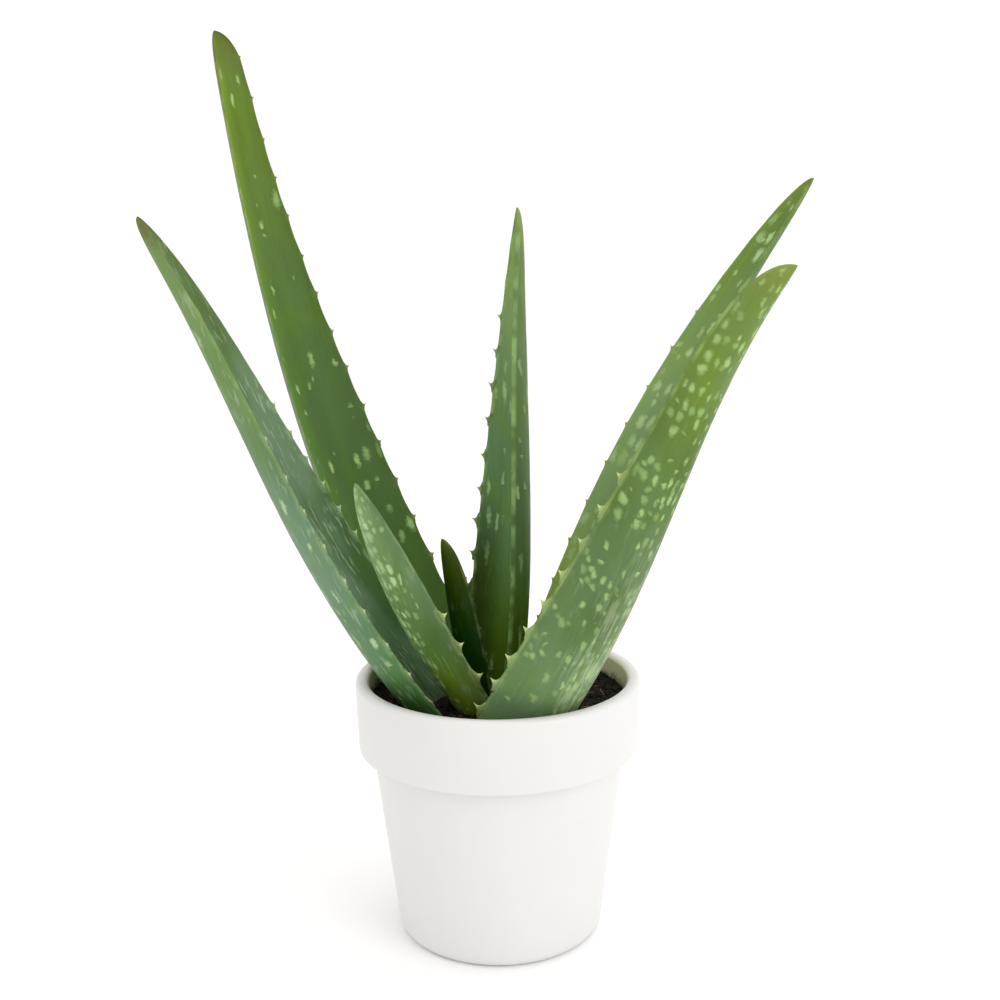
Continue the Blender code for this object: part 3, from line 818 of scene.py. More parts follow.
# %% [markdown]
# ## From a recipe to inputs
# A recipe is written in millimetres and degrees. The trees work in metres and radians.

# %% From a recipe to inputs
def spread(names, values, scale):
    """Pairs of input name and value, brought to metres or radians."""
    return {name: value * scale for name, value in zip(names, values)}


def leaf_inputs(recipe, seed):
    degrees = math.radians(1)
    inputs = {
        "Root": Vector(recipe["root"]) * MM, "Length": recipe["length"] * MM,
        "Tip Skew": recipe["tip_skew"], "Tip Sharpness": recipe.get("tip_sharpness", TIP_SHARPNESS),
        "Toothed Share": recipe["toothed"], "Soil Level": SOIL_LEVEL, "Seed": float(seed),
    }
    inputs |= spread(("Azimuth Base", "Azimuth Tip"), recipe["azimuth"], degrees)
    inputs |= spread(("Lean A", "Lean B", "Lean C", "Lean D"), recipe["lean"], degrees)
    inputs |= spread(("Roll Base", "Roll Tip"), recipe["roll"], degrees)
    inputs |= spread(("Width A", "Width B", "Width C", "Width D"), recipe["width"], MM)
    inputs |= spread(("Thickness Base", "Thickness Tip"), recipe["thickness"], MM)
    inputs |= spread(("Channel Base", "Channel Tip"), recipe["channel"], 1.0)
    inputs |= spread(("Tooth Pitch Left", "Tooth Pitch Right"), recipe["tooth_pitch"], MM)
    inputs |= spread(("First Tooth Left", "First Tooth Right"), recipe["first_tooth"], MM)
    inputs |= spread(("Scallop Left", "Scallop Right"), recipe["scallop"], MM)
    inputs |= spread(("Tooth Size Left", "Tooth Size Right"), recipe["tooth_size"], 1.0)
    return inputs


print("inputs from a recipe:", len(leaf_inputs(LEAVES["leaf_heart"], 0)))

# %% [markdown]
# ## Growing and settling
# A geometry tree works as a modifier on a mesh, which may be empty. Its inputs are set by identifier
# before the tree is evaluated for the first time. What it makes is then kept as a plain mesh, like any
# other piece.

# %% Growing with a tree
def grow(name, tree, inputs, mesh=None):
    """An object whose mesh a geometry tree makes, with the tree's inputs set by identifier."""
    item = bpy.data.objects.new(name, mesh or bpy.data.meshes.new(name))
    scene.collection.objects.link(item)
    modifier = item.modifiers.new(tree.name, "NODES")
    for socket in tree.interface.items_tree:
        if socket.in_out == "INPUT" and socket.name in inputs:
            modifier[socket.identifier] = inputs[socket.name]
    modifier.node_group = tree
    return item


def settle(item):
    """Keeps what the modifiers show as a plain mesh, and takes the modifiers off."""
    graph = bpy.context.evaluated_depsgraph_get()
    mesh = bpy.data.meshes.new_from_object(item.evaluated_get(graph), preserve_all_data_layers=True,
                                           depsgraph=graph)
    item.modifiers.clear()
    item.data = mesh
    mesh.name = item.name
    return item


def report(item):
    box = [Vector(corner) for corner in item.bound_box]
    size = [1000 * (max(p[i] for p in box) - min(p[i] for p in box)) for i in range(3)]
    faces = sum(len(face.vertices) - 2 for face in item.data.polygons)
    print(item.name, [round(v, 1) for v in size], "mm,", faces, "triangles")

# %% [markdown]
# ## Finishes as small effects
# A real leaf looks right because several plain things lie over each other: a green that changes from base
# to tip, soft clouds of wax, oval pale spots, fine lines along the fibres and a paler margin. These are
# made as shader groups with named inputs, so that every leaf mixes the same effects in its own amounts.
# They read the place on the blade that the skin tree stored, so the pattern follows the leaf as it bends.

# %% Colours, and reading the mesh
def shade(red, green, blue):
    """A colour named by its values on a 0 to 255 paint chip."""
    def plain(value):
        share = value / 255
        return share / 12.92 if share <= 0.04045 else ((share + 0.055) / 1.055) ** 2.4
    return (plain(red), plain(green), plain(blue), 1.0)


def tint(tree, share, low, high, way="MIX"):
    """A colour that share of the way from low to high."""
    node = place(tree, "ShaderNodeMix", {0: share, 6: low, 7: high}, data_type="RGBA", blend_type=way)
    return Wire(tree, node.outputs[2])


def read(tree, name):
    """A value that is stored on the mesh."""
    node = place(tree, "ShaderNodeAttribute", attribute_name=name)
    return Wire(tree, node.outputs["Vector" if name == "blade" else "Fac"])


print("a mid grey chip is", round(shade(128, 128, 128)[0], 3), "of full light")

# %% [markdown]
# ## What lies in a leaf's skin
# Seven effects lie over one another. The first is the green itself, which runs from base to tip, deepens
# or pales towards each margin, partly as its own colour and partly as painted highlight and shade where
# one side of the blade turns to the light or away from it, and has soft clouds of wax and of sun in it.

# %% The green of a blade
SUNLIT = (1.1, 1.1, 0.55, 1.0)     # patches that the sun has turned yellower
ON_BLADE = {"Blade": ("vector",), **numbers("Share", "Rim")}


def make_green():
    """Ground colour: base, middle and tip, with soft clouds; each margin paler or deeper, partly by painted
    highlight and shade.
    """
    takes = ON_BLADE | numbers("Wax Amount", "Left Tone", "Right Tone", "Sun", "Seed")
    takes |= {label: ("colour",) for label in ("Base", "Middle", "Tip", "Wax")}
    tree, wire, out = new_tree("leaf green", "ShaderNodeTree", takes, {"Colour": "colour"})
    across, along, above = parts_of(tree, wire["Blade"])
    lower = tint(tree, ramp(tree, wire["Share"], 0.08, 0.45), wire["Base"], wire["Middle"])
    green = tint(tree, ramp(tree, wire["Share"], 0.45, 0.97), lower, wire["Tip"])
    half = (across.do("ABSOLUTE") + wire["Rim"]).do("MAXIMUM", 0.5 * MM)
    side = across / half
    # Painted highlight and shade: each margin's tone brightens or darkens its side of the blade, partly as
    # the leaf's own colour.
    left = (-side).do("MAXIMUM", 0.0) ** 1.5 * (wire["Left Tone"] - 1.0)
    right = side.do("MAXIMUM", 0.0) ** 1.5 * (wire["Right Tone"] - 1.0)
    spot = axes(tree, across * 60.0, along * 16.0, wire["Seed"] + above * 4.0)
    drift = cloud(tree, spot, 1.0)
    fibre = cloud(tree, axes(tree, across * 700.0, along * 22.0, wire["Seed"]), 1.0, 3.0)
    tone = 1.0 + left + right + (drift - 0.5) * 0.5 + (fibre - 0.5) * 0.22
    waxy = ramp(tree, cloud(tree, spot, 0.8, 3.0), 0.35, 0.65) * wire["Wax Amount"]
    sun_spot = axes(tree, across * 110.0, along * 45.0, wire["Seed"] + above)
    sunny = ramp(tree, cloud(tree, sun_spot, 1.0), 0.48, 0.68)
    green = tint(tree, sunny * wire["Sun"], green * tone, SUNLIT, "MULTIPLY")
    feed(tree, out.inputs["Colour"], tint(tree, waxy, green, wire["Wax"]))
    return tree


GREEN = make_green()
print("green:", len(GREEN.nodes), "nodes")

# %% [markdown]
# ## Marks on a blade
# The pale spots are ragged ovals in a stretched honeycomb, faded at the walls of their cells so that none
# is cut off square. Streaks are dried sap along the fibres. The margin line and the ageing follow the
# stored distance to the rim. A wash over one side of a blade is bloom on the small front leaf, yellower
# green on the low left leaf, dry grain on the right front leaf and painted shade on the upright leaf.

# %% Spots and streaks
def make_pale_spots():
    """Soft ovals, one chance in each cell of a honeycomb that is stretched along the leaf."""
    takes = {"Blade": ("vector",), "On Channel": ("number", 1.0)}
    takes |= numbers("Rim", "Cell Width", "Cell Length", "Size", "Amount", "Lean", "Seed")
    tree, wire, out = new_tree("pale spots", "ShaderNodeTree", takes, {"Mask": "number"})
    across, along, above = parts_of(tree, wire["Blade"])
    warp = (cloud(tree, wire["Blade"], 260.0, 1.0) - 0.5) * 0.5
    x = across / wire["Cell Width"] + wire["Seed"] * 3.7 + above * 11.3 + warp
    y = along / wire["Cell Length"] + wire["Seed"] * 5.1 - warp * 0.6
    feeds = {"Vector": axes(tree, x, y, 0.0), "Scale": 1.0, "Randomness": 0.55}
    cells = place(tree, "ShaderNodeTexVoronoi", feeds, voronoi_dimensions="2D")
    walls = place(tree, "ShaderNodeTexVoronoi", feeds, voronoi_dimensions="2D", feature="DISTANCE_TO_EDGE")
    luck = place(tree, "ShaderNodeSeparateColor", {0: Wire(tree, cells.outputs["Color"])})
    draw, girth, strength = (Wire(tree, socket) for socket in luck.outputs)
    band = (cloud(tree, axes(tree, across * 12.0, along * 42.0, wire["Seed"]), 1.0, 1.0) - 0.5) * 5.0
    amount = wire["Amount"] * (1.0 + band) * (1.0 + across * wire["Lean"] / (20 * MM))
    radius = wire["Size"] * (girth * 0.7 + 0.65)
    ragged = (cloud(tree, wire["Blade"], 700.0, 2.0) - 0.5) * 1.2
    oval = ramp(tree, Wire(tree, cells.outputs["Distance"]) / radius + ragged, 1.35, 0.3)
    oval = oval * ramp(tree, Wire(tree, walls.outputs["Distance"]) - ragged * 0.08, 0.0, 0.2)
    clear = ramp(tree, wire["Rim"], 0.4 * MM, 1.4 * MM) * mix(tree, above, 1.0, wire["On Channel"])
    chosen = (amount - draw).do("GREATER_THAN", 0.0)
    feed(tree, out.inputs["Mask"], oval * clear * chosen * (strength * 0.6 + 0.4))
    return tree


def make_streaks():
    """Short pale dashes along the fibres, in loose patches."""
    takes = {"Blade": ("vector",)} | numbers("Amount", "Seed")
    tree, wire, out = new_tree("fibre streaks", "ShaderNodeTree", takes, {"Mask": "number"})
    across, along, above = parts_of(tree, wire["Blade"])
    dash = cloud(tree, axes(tree, across * 850.0, along * 95.0, wire["Seed"] + above * 9.0), 1.0, 2.0)
    patch = cloud(tree, axes(tree, across * 50.0, along * 30.0, wire["Seed"] + 3.0), 1.0, 1.0)
    mask = ramp(tree, dash, 0.54, 0.68) * ramp(tree, patch, 0.38, 0.56)
    feed(tree, out.inputs["Mask"], mask * wire["Amount"])
    return tree


PALE_SPOTS = make_pale_spots()
STREAKS = make_streaks()
print("spots:", len(PALE_SPOTS.nodes), "nodes; streaks:", len(STREAKS.nodes), "nodes")

# %% [markdown]
# ## Margins and tips
# These two effects follow the edge of the blade and the end of its length.

# %% Margin line and ageing
def make_margin_line():
    """A thin line along both margins, broken where the noise is low."""
    takes = {"Blade": ("vector",)} | numbers("Rim", "Width", "Breaks")
    tree, wire, out = new_tree("margin line", "ShaderNodeTree", takes, {"Mask": "number"})
    along = parts_of(tree, wire["Blade"])[1]
    gaps = ramp(tree, cloud(tree, axes(tree, along * 80.0, 0.0, 0.0), 1.0, 1.0), 0.6, 0.4) * wire["Breaks"]
    line = ramp(tree, wire["Rim"] / wire["Width"], 1.2, 0.4)
    feed(tree, out.inputs["Mask"], line * (1.0 - gaps))
    return tree


def make_ageing():
    """Where the tip and the last of the margins have dried and browned."""
    gives = {"Tip": "number", "Margin": "number"}
    tree, wire, out = new_tree("ageing", "ShaderNodeTree", ON_BLADE, gives)
    blotch = (cloud(tree, wire["Blade"], 160.0) - 0.5) * 0.12
    tip = ramp(tree, wire["Share"] + blotch, 0.93, 1.0)
    edge = ramp(tree, wire["Rim"], 0.7 * MM, 0.1 * MM) * ramp(tree, wire["Share"], 0.8, 1.0)
    feed(tree, out.inputs["Tip"], tip)
    feed(tree, out.inputs["Margin"], edge)
    return tree


MARGIN_LINE = make_margin_line()
AGEING = make_ageing()
print("margin line:", len(MARGIN_LINE.nodes), "nodes; ageing:", len(AGEING.nodes), "nodes")

# %% [markdown]
# ## Wash and relief
# The wash covers one side of a blade, all over or only along its fibres. The relief gives the skin its
# fine ribs and pores, and makes the gloss uneven.

# %% Side wash and relief
def make_side_wash():
    """A wash over one side of the blade between two shares of its length, smooth or only along the fibres."""
    takes = ON_BLADE | numbers("Side", "None At", "Full At", "Grain", "Seed")
    takes |= {"From": ("number", 0.1), "On Belly": ("number", 1.0)}
    tree, wire, out = new_tree("side wash", "ShaderNodeTree", takes, {"Mask": "number"})
    across, along, above = parts_of(tree, wire["Blade"])
    side = across / (across.do("ABSOLUTE") + wire["Rim"]).do("MAXIMUM", 0.5 * MM) * wire["Side"]
    cover = ramp(tree, side, wire["From"], wire["From"] + 0.8)
    cover = cover * ramp(tree, wire["Share"], wire["None At"], wire["Full At"])
    cover = cover * mix(tree, above, wire["On Belly"], 1.0)
    fibres = cloud(tree, axes(tree, across * 900.0, along * 60.0, wire["Seed"]), 1.0, 3.0)
    patches = cloud(tree, axes(tree, across * 150.0, along * 90.0, wire["Seed"]), 1.0, 2.0)
    grain = ramp(tree, fibres + (patches - 0.5) * 0.6, 0.46, 0.62)
    feed(tree, out.inputs["Mask"], cover * mix(tree, wire["Grain"], 1.0, grain))
    return tree


def make_skin_relief():
    """Fine ribs along the fibres and the pores between them, as a height and a roughness."""
    takes = {"Blade": ("vector",)} | numbers("Spot Mask", "Roughness")
    gives = {"Height": "number", "Roughness": "number"}
    tree, wire, out = new_tree("skin relief", "ShaderNodeTree", takes, gives)
    across, along, above = parts_of(tree, wire["Blade"])
    ribs = cloud(tree, axes(tree, across * 1100.0, along * 30.0, above * 5.0), 1.0, 3.0)
    pores = cloud(tree, wire["Blade"], 1900.0, 1.0)
    lumps = cloud(tree, wire["Blade"], 170.0, 2.0)
    feed(tree, out.inputs["Height"], ribs * 0.5 + pores * 0.2 + lumps * 0.6 + wire["Spot Mask"] * 0.2)
    rough = wire["Roughness"] + (pores - 0.5) * 0.2 + (lumps - 0.5) * 0.25 + wire["Spot Mask"] * 0.06
    feed(tree, out.inputs["Roughness"], rough)
    return tree


SIDE_WASH = make_side_wash()
SKIN_RELIEF = make_skin_relief()
print("effects:", [group.name for group in bpy.data.node_groups if group.bl_idname == "ShaderNodeTree"])

# %% [markdown]
# ## Seven skins
# Each leaf has its own greens, and the front leaves are paler and waxier. The heart's deep olive is partly
# painted shade, and the bright base of the right back leaf is painted light where inner leaves shade it.
# A skin lists its greens on the hollow side, how the belly differs, and how much of each effect it shows.
# What a leaf doesn't list is as on a plain skin.

# %% The colours and amounts of each skin
CREAM = (196, 208, 140)
WAX = (131, 159, 132)
BLOOM = (160, 182, 148)
STRAW = (130, 132, 46)
RUST = (94, 84, 46)

# greens: base, middle and tip of the channel. belly: what its green is multiplied by.
# tones: how bright each margin is, partly its own colour and partly painted highlight and shade. wax: on the
# channel, on the belly. aged: tip, margin.
# line: how strong the margin line is, how wide in millimetres, and its colour.
PLAIN_SKIN = dict(
    light_and_tones=(1.0, 1.0), wax=(0.0, 0.0), streaks=0.1, sun=0.6, aged=(0.2, 0.2), aged_colour=STRAW,
    line=(0.25, 0.3, CREAM), tooth_colour=CREAM, gloss=0.18, specks=0.2)
SKINS = {
    # Painted shade: the heart's dark greens stand partly for the shade it sits in among the other leaves.
    "leaf_heart": PLAIN_SKIN | dict(
        greens=[(20, 56, 3), (14, 50, 3), (50, 66, 3)], belly=(1.0, 1.0, 0.6), aged=(0.1, 0.1),
        line=(0.15, 0.3, CREAM), spot_colour=(70, 96, 40), teeth=0.5, tooth_colour=(120, 130, 90),
        gloss=0.08, specks=0.3, spots=dict(Amount=0.12, Size=0.2, Cell_Width=5 * MM, Cell_Length=9 * MM)),
    # Painted shade: the dark left tone darkens the side of this leaf that turns away from the light.
    "leaf_upright": PLAIN_SKIN | dict(
        greens=[(92, 126, 3), (93, 128, 82), (127, 155, 96)], belly=(0.81, 0.77, 0.72),
        light_and_tones=(0.68, 1.0), streaks=0.15, line=(0.6, 0.9, (146, 182, 112)),
        spot_colour=(164, 194, 134), teeth=0.6, tooth_colour=(150, 156, 118), gloss=0.12, specks=0.0,
        # Painted shade: this dark wash darkens one side of the base, where the leaf lies in shade.
        wash=dict(Side=1.0, None_At=0.55, Full_At=0.25), washed=((34, 44, 2), 0.75),
        spots=dict(Amount=0.36, Size=0.26, Cell_Width=3.2 * MM, Cell_Length=18 * MM)),
    # Painted light and shade: the pale left tone is the lit side of this leaf, and the dark right tone is its
    # shaded side.
    "leaf_front_small": PLAIN_SKIN | dict(
        greens=[(124, 148, 4), (79, 109, 49), (106, 134, 84)], belly=(0.93, 1.0, 0.79),
        light_and_tones=(1.48, 0.5), wax=(0.3, 0.3), streaks=0.35, aged=(0.0, 0.0), line=(0.3, 0.3, (150, 172, 118)),
        spot_colour=(182, 208, 154), teeth=0.85, specks=0.9,
        wash=dict(Side=-1.0, None_At=0.0, Full_At=0.25, Grain=0.75), washed=((154, 182, 142), 0.6),
        spots=dict(Amount=0.55, Size=0.37, Lean=-2.6, Cell_Width=3.4 * MM, Cell_Length=7.5 * MM)),
    # Painted light: the bright base green brightens a base that the inner leaves shade.
    "leaf_right_back": PLAIN_SKIN | dict(
        greens=[(159, 178, 43), (115, 142, 90), (87, 113, 17)], belly=(0.66, 0.76, 0.7),
        light_and_tones=(1.0, 1.32), wax=(0.1, 0.1), aged=(0.3, 0.1), line=(0.35, 0.4, (150, 178, 110)),
        spot_colour=(176, 206, 146), teeth=0.5, tooth_colour=(160, 158, 90),
        spots=dict(Amount=0.5, Size=0.36, Cell_Width=5.5 * MM, Cell_Length=10 * MM)),
    # Painted highlight: the bright right tone is a glossy pale strip along one margin.
    "leaf_left_tall": PLAIN_SKIN | dict(
        greens=[(54, 85, 7), (65, 94, 38), (89, 114, 29)], belly=(0.88, 0.81, 1.72), light_and_tones=(1.0, 1.87),
        wax=(0.05, 0.05), streaks=0.0, sun=0.9, aged=(0.5, 0.8), aged_colour=(104, 106, 46),
        spot_colour=(164, 196, 120), teeth=0.45, tooth_colour=(150, 165, 90), specks=0.1,
        spots=dict(Amount=0.17, Size=0.25, Cell_Width=5.2 * MM, Cell_Length=14 * MM)),
    "leaf_left_low": PLAIN_SKIN | dict(
        greens=[(40, 76, 20), (66, 93, 49), (73, 97, 28)], belly=(1.9, 1.82, 2.85), light_and_tones=(1.03, 1.05),
        wax=(0.4, 0.08), streaks=0.9, aged=(0.8, 0.35), aged_colour=(104, 102, 42),
        line=(0.28, 0.4, (150, 176, 110)),
        spot_colour=(184, 210, 156), teeth=0.85, tooth_colour=(184, 200, 150),
        wash=dict(Side=1.0, None_At=0.45, Full_At=0.75, Grain=0.1, On_Belly=0.15),
        washed=((112, 146, 34), 0.75),
        spots=dict(Amount=0.1, Size=0.27, Lean=0.4, On_Channel=0.15, Cell_Width=3.6 * MM,
                   Cell_Length=13 * MM)),
    "leaf_right_front": PLAIN_SKIN | dict(
        greens=[(114, 145, 100), (72, 100, 27), (101, 125, 57)], belly=(1.0, 1.0, 1.0),
        wax=(0.2, 0.2), streaks=0.2, aged=(0.4, 0.05), line=(0.5, 0.42, (158, 186, 110)),
        spot_colour=(166, 198, 126), teeth=0.85, specks=0.5,
        wash=dict(Side=1.0, From=-0.75, None_At=0.6, Full_At=0.3, Grain=0.9), washed=((172, 182, 150), 0.6),
        spots=dict(Amount=0.56, Size=0.32, Lean=0.7, Cell_Width=2.8 * MM, Cell_Length=6.6 * MM)),
}
print("skins:", ", ".join(SKINS))

# %% [markdown]
# ## Ground and marks
# The ground of a skin is its green, with the wash over one side. The marks are large spots with small
# specks between them. Only colours and masks come from the groups.

# %% Ground and marks
def new_finish(name):
    """An empty finish: its tree, and its Principled shader."""
    finish = bpy.data.materials.new(name)
    finish.use_nodes = True
    return finish, finish.node_tree, finish.node_tree.nodes["Principled BSDF"]


def add_relief(tree, shader, height, strength, distance):
    bump = place(tree, "ShaderNodeBump", {"Height": height, "Strength": strength, "Distance": distance})
    feed(tree, shader.inputs["Normal"], Wire(tree, bump.outputs["Normal"]))


def ground_green(tree, skin, spot, seed):
    """The green of the channel and the belly, with the wash over one side."""
    base, middle, tip = (shade(*chip) for chip in skin["greens"])
    on_belly = 1.0 - parts_of(tree, spot["Blade"])[2]
    # The brightness of each margin carries painted highlight and shade as well as the leaf's own colour.
    left, right = skin["light_and_tones"]
    green = use(tree, GREEN, **spot, Base=base, Middle=middle, Tip=tip, Wax=shade(*WAX),
                Wax_Amount=mix(tree, on_belly, *skin["wax"]), Left_Tone=left, Right_Tone=right,
                Sun=skin["sun"], Seed=float(seed))["Colour"]
    green = tint(tree, on_belly, green, tint(tree, 1.0, green, (*skin["belly"], 1.0), "MULTIPLY"))
    # The wash is bloom, yellower green or dry grain on the other leaves, and painted shade on the upright
    # leaf.
    if "wash" in skin:
        chip, strength = skin["washed"]
        wash = use(tree, SIDE_WASH, **spot, Seed=float(seed), **skin["wash"])["Mask"]
        green = tint(tree, wash * strength, green, shade(*chip))
    return green


def pale_marks(tree, skin, spot, seed):
    """Large spots, and small specks between them."""
    large = skin["spots"]
    small = large | dict(Cell_Width=3 * MM, Cell_Length=5 * MM, Amount=large["Amount"] * skin["specks"])
    blade, rim = spot["Blade"], spot["Rim"]
    spots = use(tree, PALE_SPOTS, Blade=blade, Rim=rim, Seed=float(seed), **large)["Mask"]
    specks = use(tree, PALE_SPOTS, Blade=blade, Rim=rim, Seed=seed + 20.0, **small)["Mask"]
    return spots.do("MAXIMUM", specks * 0.7)


print("skins with a wash:", ", ".join(name for name, skin in SKINS.items() if "wash" in skin))

# %% [markdown]
# ## Mixing a skin
# Each skin is mixed in the same order: the green with its wash, then spots, streaks and margin line,
# then age, and the teeth last. The shader itself stays here.

# %% Leaf skins
def skin_of(name, seed):
    skin = SKINS[name]
    finish, tree, shader = new_finish("skin of " + name.replace("_", " "))
    spot = {label: read(tree, label.lower()) for label in ("Blade", "Share", "Rim")}
    pale = pale_marks(tree, skin, spot, seed)
    streaks = use(tree, STREAKS, Blade=spot["Blade"], Amount=skin["streaks"], Seed=float(seed))["Mask"]
    shown, width, line_chip = skin["line"]
    line = use(tree, MARGIN_LINE, Blade=spot["Blade"], Rim=spot["Rim"], Width=width * MM, Breaks=0.9)["Mask"]
    aged = use(tree, AGEING, **spot)
    tooth = ramp(tree, read(tree, "tooth"), 0.02, 0.45)
    colour = ground_green(tree, skin, spot, seed)
    for share, chip in (
            (pale * 0.8, skin["spot_colour"]), (streaks * 0.5, BLOOM), (line * shown, line_chip),
            (aged["Tip"] * skin["aged"][0], skin["aged_colour"]), (aged["Margin"] * skin["aged"][1], RUST),
            (tooth * skin["teeth"], skin["tooth_colour"])):
        colour = tint(tree, share, colour, shade(*chip))
    relief = use(tree, SKIN_RELIEF, Blade=spot["Blade"], Spot_Mask=pale, Roughness=0.48)
    feed(tree, shader.inputs["Base Color"], colour)
    feed(tree, shader.inputs["Roughness"], relief["Roughness"])
    shader.inputs["Specular IOR Level"].default_value = skin["gloss"]
    add_relief(tree, shader, relief["Height"], 0.35, 0.4 * MM)
    return finish


FINISHES = {name: skin_of(name, seed) for seed, name in enumerate(LEAVES)}
print("leaf skins:", len(FINISHES), "of", len(FINISHES["leaf_heart"].node_tree.nodes), "nodes each")

# %% [markdown]
# ## Glaze
# The glaze is a thick satin white that clouds a little. Inside the collar it is tinted cream, and just
# above the soil it darkens to brown in a ragged band.

# %% Glaze
GLAZE_WHITE = (0.70, 0.695, 0.68, 1)
GLAZE_CREAM = (0.82, 0.77, 0.58, 1)


def make_glaze():
    takes = {"Place": ("vector",)} | numbers("Inner Radius", "Collar Height", "Soil Level")
    takes |= {label: ("colour",) for label in ("White", "Cream", "Stain")}
    gives = {"Colour": "colour", "Roughness": "number", "Height": "number"}
    tree, wire, out = new_tree("satin glaze", "ShaderNodeTree", takes, gives)
    x, y, z = parts_of(tree, wire["Place"])
    radius = (x * x + y * y).do("SQRT")
    drift = cloud(tree, wire["Place"], 28.0)
    runs = cloud(tree, axes(tree, x * 300.0, y * 300.0, z * 60.0), 1.0, 1.0)
    skin = cloud(tree, wire["Place"], 420.0, 1.0)
    inside = ramp(tree, radius, wire["Inner Radius"] + 1.6 * MM, wire["Inner Radius"] + 0.2 * MM)
    inside = inside * ramp(tree, z, wire["Collar Height"] - 8 * MM, wire["Collar Height"])
    colour = wire["White"] * (1.0 + (drift - 0.5) * 0.05 + (runs - 0.5) * 0.015)
    colour = tint(tree, inside, colour, wire["Cream"])
    # The inner wall darkens to brown in a ragged band just above the soil.
    band_edge = wire["Soil Level"] + 1.0 * MM + (cloud(tree, wire["Place"], 260.0, 3.0) - 0.4) * 9 * MM
    umber_band = ramp(tree, z, band_edge + 2 * MM, band_edge - 2 * MM) * inside * 0.75
    feed(tree, out.inputs["Colour"], tint(tree, umber_band, colour, wire["Stain"]))
    feed(tree, out.inputs["Roughness"], 0.38 + (drift - 0.5) * 0.15 + (skin - 0.5) * 0.1)
    feed(tree, out.inputs["Height"], skin * 0.4 + drift)
    return tree


SATIN_GLAZE = make_glaze()


def where(tree):
    """The place on the object itself."""
    return Wire(tree, place(tree, "ShaderNodeTexCoord").outputs["Object"])


def glaze_finish(inner_radius, collar_height):
    finish, tree, shader = new_finish("white satin glaze")
    glaze = use(tree, SATIN_GLAZE, Place=where(tree), White=GLAZE_WHITE, Cream=GLAZE_CREAM,
                Stain=shade(96, 86, 62), Inner_Radius=inner_radius, Collar_Height=collar_height,
                Soil_Level=SOIL_LEVEL)
    feed(tree, shader.inputs["Base Color"], glaze["Colour"])
    feed(tree, shader.inputs["Roughness"], glaze["Roughness"])
    add_relief(tree, shader, glaze["Height"], 0.15, 0.5 * MM)
    return finish


print("glaze:", len(SATIN_GLAZE.nodes), "nodes")

# %% [markdown]
# ## Potting mix and bark
# The mix is nearly black peat with browner crumbs, bark and pale root fibres. Each crumb carries its
# kind, and the finish picks its colour by that.

# %% Mix and bark
OF_BARK = 2.0                # kinds from 0 to 1 are peat, from black to brown
OF_FIBRE = 3.0


def mix_finish():
    finish, tree, shader = new_finish("potting mix")
    kind = read(tree, "kind")
    spot = where(tree)
    grain = cloud(tree, spot, 900.0, 3.0)
    lumps = cloud(tree, spot, 140.0, 3.0)
    peat = tint(tree, ramp(tree, lumps, 0.35, 0.7), shade(14, 12, 9), shade(32, 26, 19))
    peat = tint(tree, ramp(tree, kind, 0.5, 1.0) * 0.8, peat, shade(54, 43, 30))
    bark = tint(tree, grain, shade(48, 33, 22), shade(92, 70, 46))
    fibre = tint(tree, grain, shade(120, 94, 62), shade(190, 164, 122))
    colour = tint(tree, (kind - (OF_BARK - 0.5)).do("GREATER_THAN", 0.0), peat, bark)
    colour = tint(tree, (kind - (OF_FIBRE - 0.5)).do("GREATER_THAN", 0.0), colour, fibre)
    feed(tree, shader.inputs["Base Color"], colour)
    shader.inputs["Roughness"].default_value = 0.92
    shader.inputs["Specular IOR Level"].default_value = 0.2
    add_relief(tree, shader, grain + lumps, 0.6, 0.4 * MM)
    return finish


def bark_finish():
    finish, tree, shader = new_finish("stem skin")
    x, y, z = parts_of(tree, where(tree))
    rings = cloud(tree, axes(tree, x * 90.0, y * 90.0, z * 700.0), 1.0, 3.0)
    colour = tint(tree, ramp(tree, rings, 0.3, 0.7), shade(92, 82, 46), shade(140, 126, 84))
    feed(tree, shader.inputs["Base Color"], colour)
    shader.inputs["Roughness"].default_value = 0.8
    add_relief(tree, shader, rings, 0.5, 0.6 * MM)
    return finish


print("kinds: peat up to 1, bark", OF_BARK, "and fibre", OF_FIBRE)

# %% [markdown]
# ## The lathe
# Stem, pot and mix are round, so each is a profile turned on the lathe. Rounded corners are short arcs.

# %% Turning on a lathe
def turn_on_lathe(name, profile, steps):
    """A closed solid of revolution from a profile of (radius, height) that starts and ends on the axis."""
    mesh = bpy.data.meshes.new(name)
    mesh.from_pydata([(r, 0.0, z) for r, z in profile], [(i, i + 1) for i in range(len(profile) - 1)], [])
    item = bpy.data.objects.new(name, mesh)
    scene.collection.objects.link(item)
    lathe = item.modifiers.new("lathe", "SCREW")
    lathe.steps = steps
    lathe.render_steps = steps
    lathe.use_merge_vertices = True
    lathe.merge_threshold = MERGE
    lathe.use_smooth_shade = True
    settle(item)
    face_outwards(item)
    return item


def face_outwards(item):
    """Turns the faces of a closed piece outwards."""
    work = bmesh.new()
    work.from_mesh(item.data)
    bmesh.ops.recalc_face_normals(work, faces=work.faces)
    work.to_mesh(item.data)
    work.free()


def corner(centre_r, centre_z, radius, start, end, steps):
    """Points of a rounded corner of a profile, between two angles in degrees."""
    points = []
    for i in range(steps + 1):
        angle = math.radians(start + (end - start) * i / steps)
        points.append((centre_r + radius * math.cos(angle), centre_z + radius * math.sin(angle)))
    return points


print("an arc of 4 steps has", len(corner(0.0, 0.0, 1.0, 0, 90, 4)), "points")

# %% [markdown]
# ## Stem
# An aloe hardly has a stem: a slim woody foot goes down into the soil, and above it swells a crown that
# the leaves are set round. A slightly larger copy of it is the guide that the leaves are cut to, which
# leaves an even gap between the pieces.

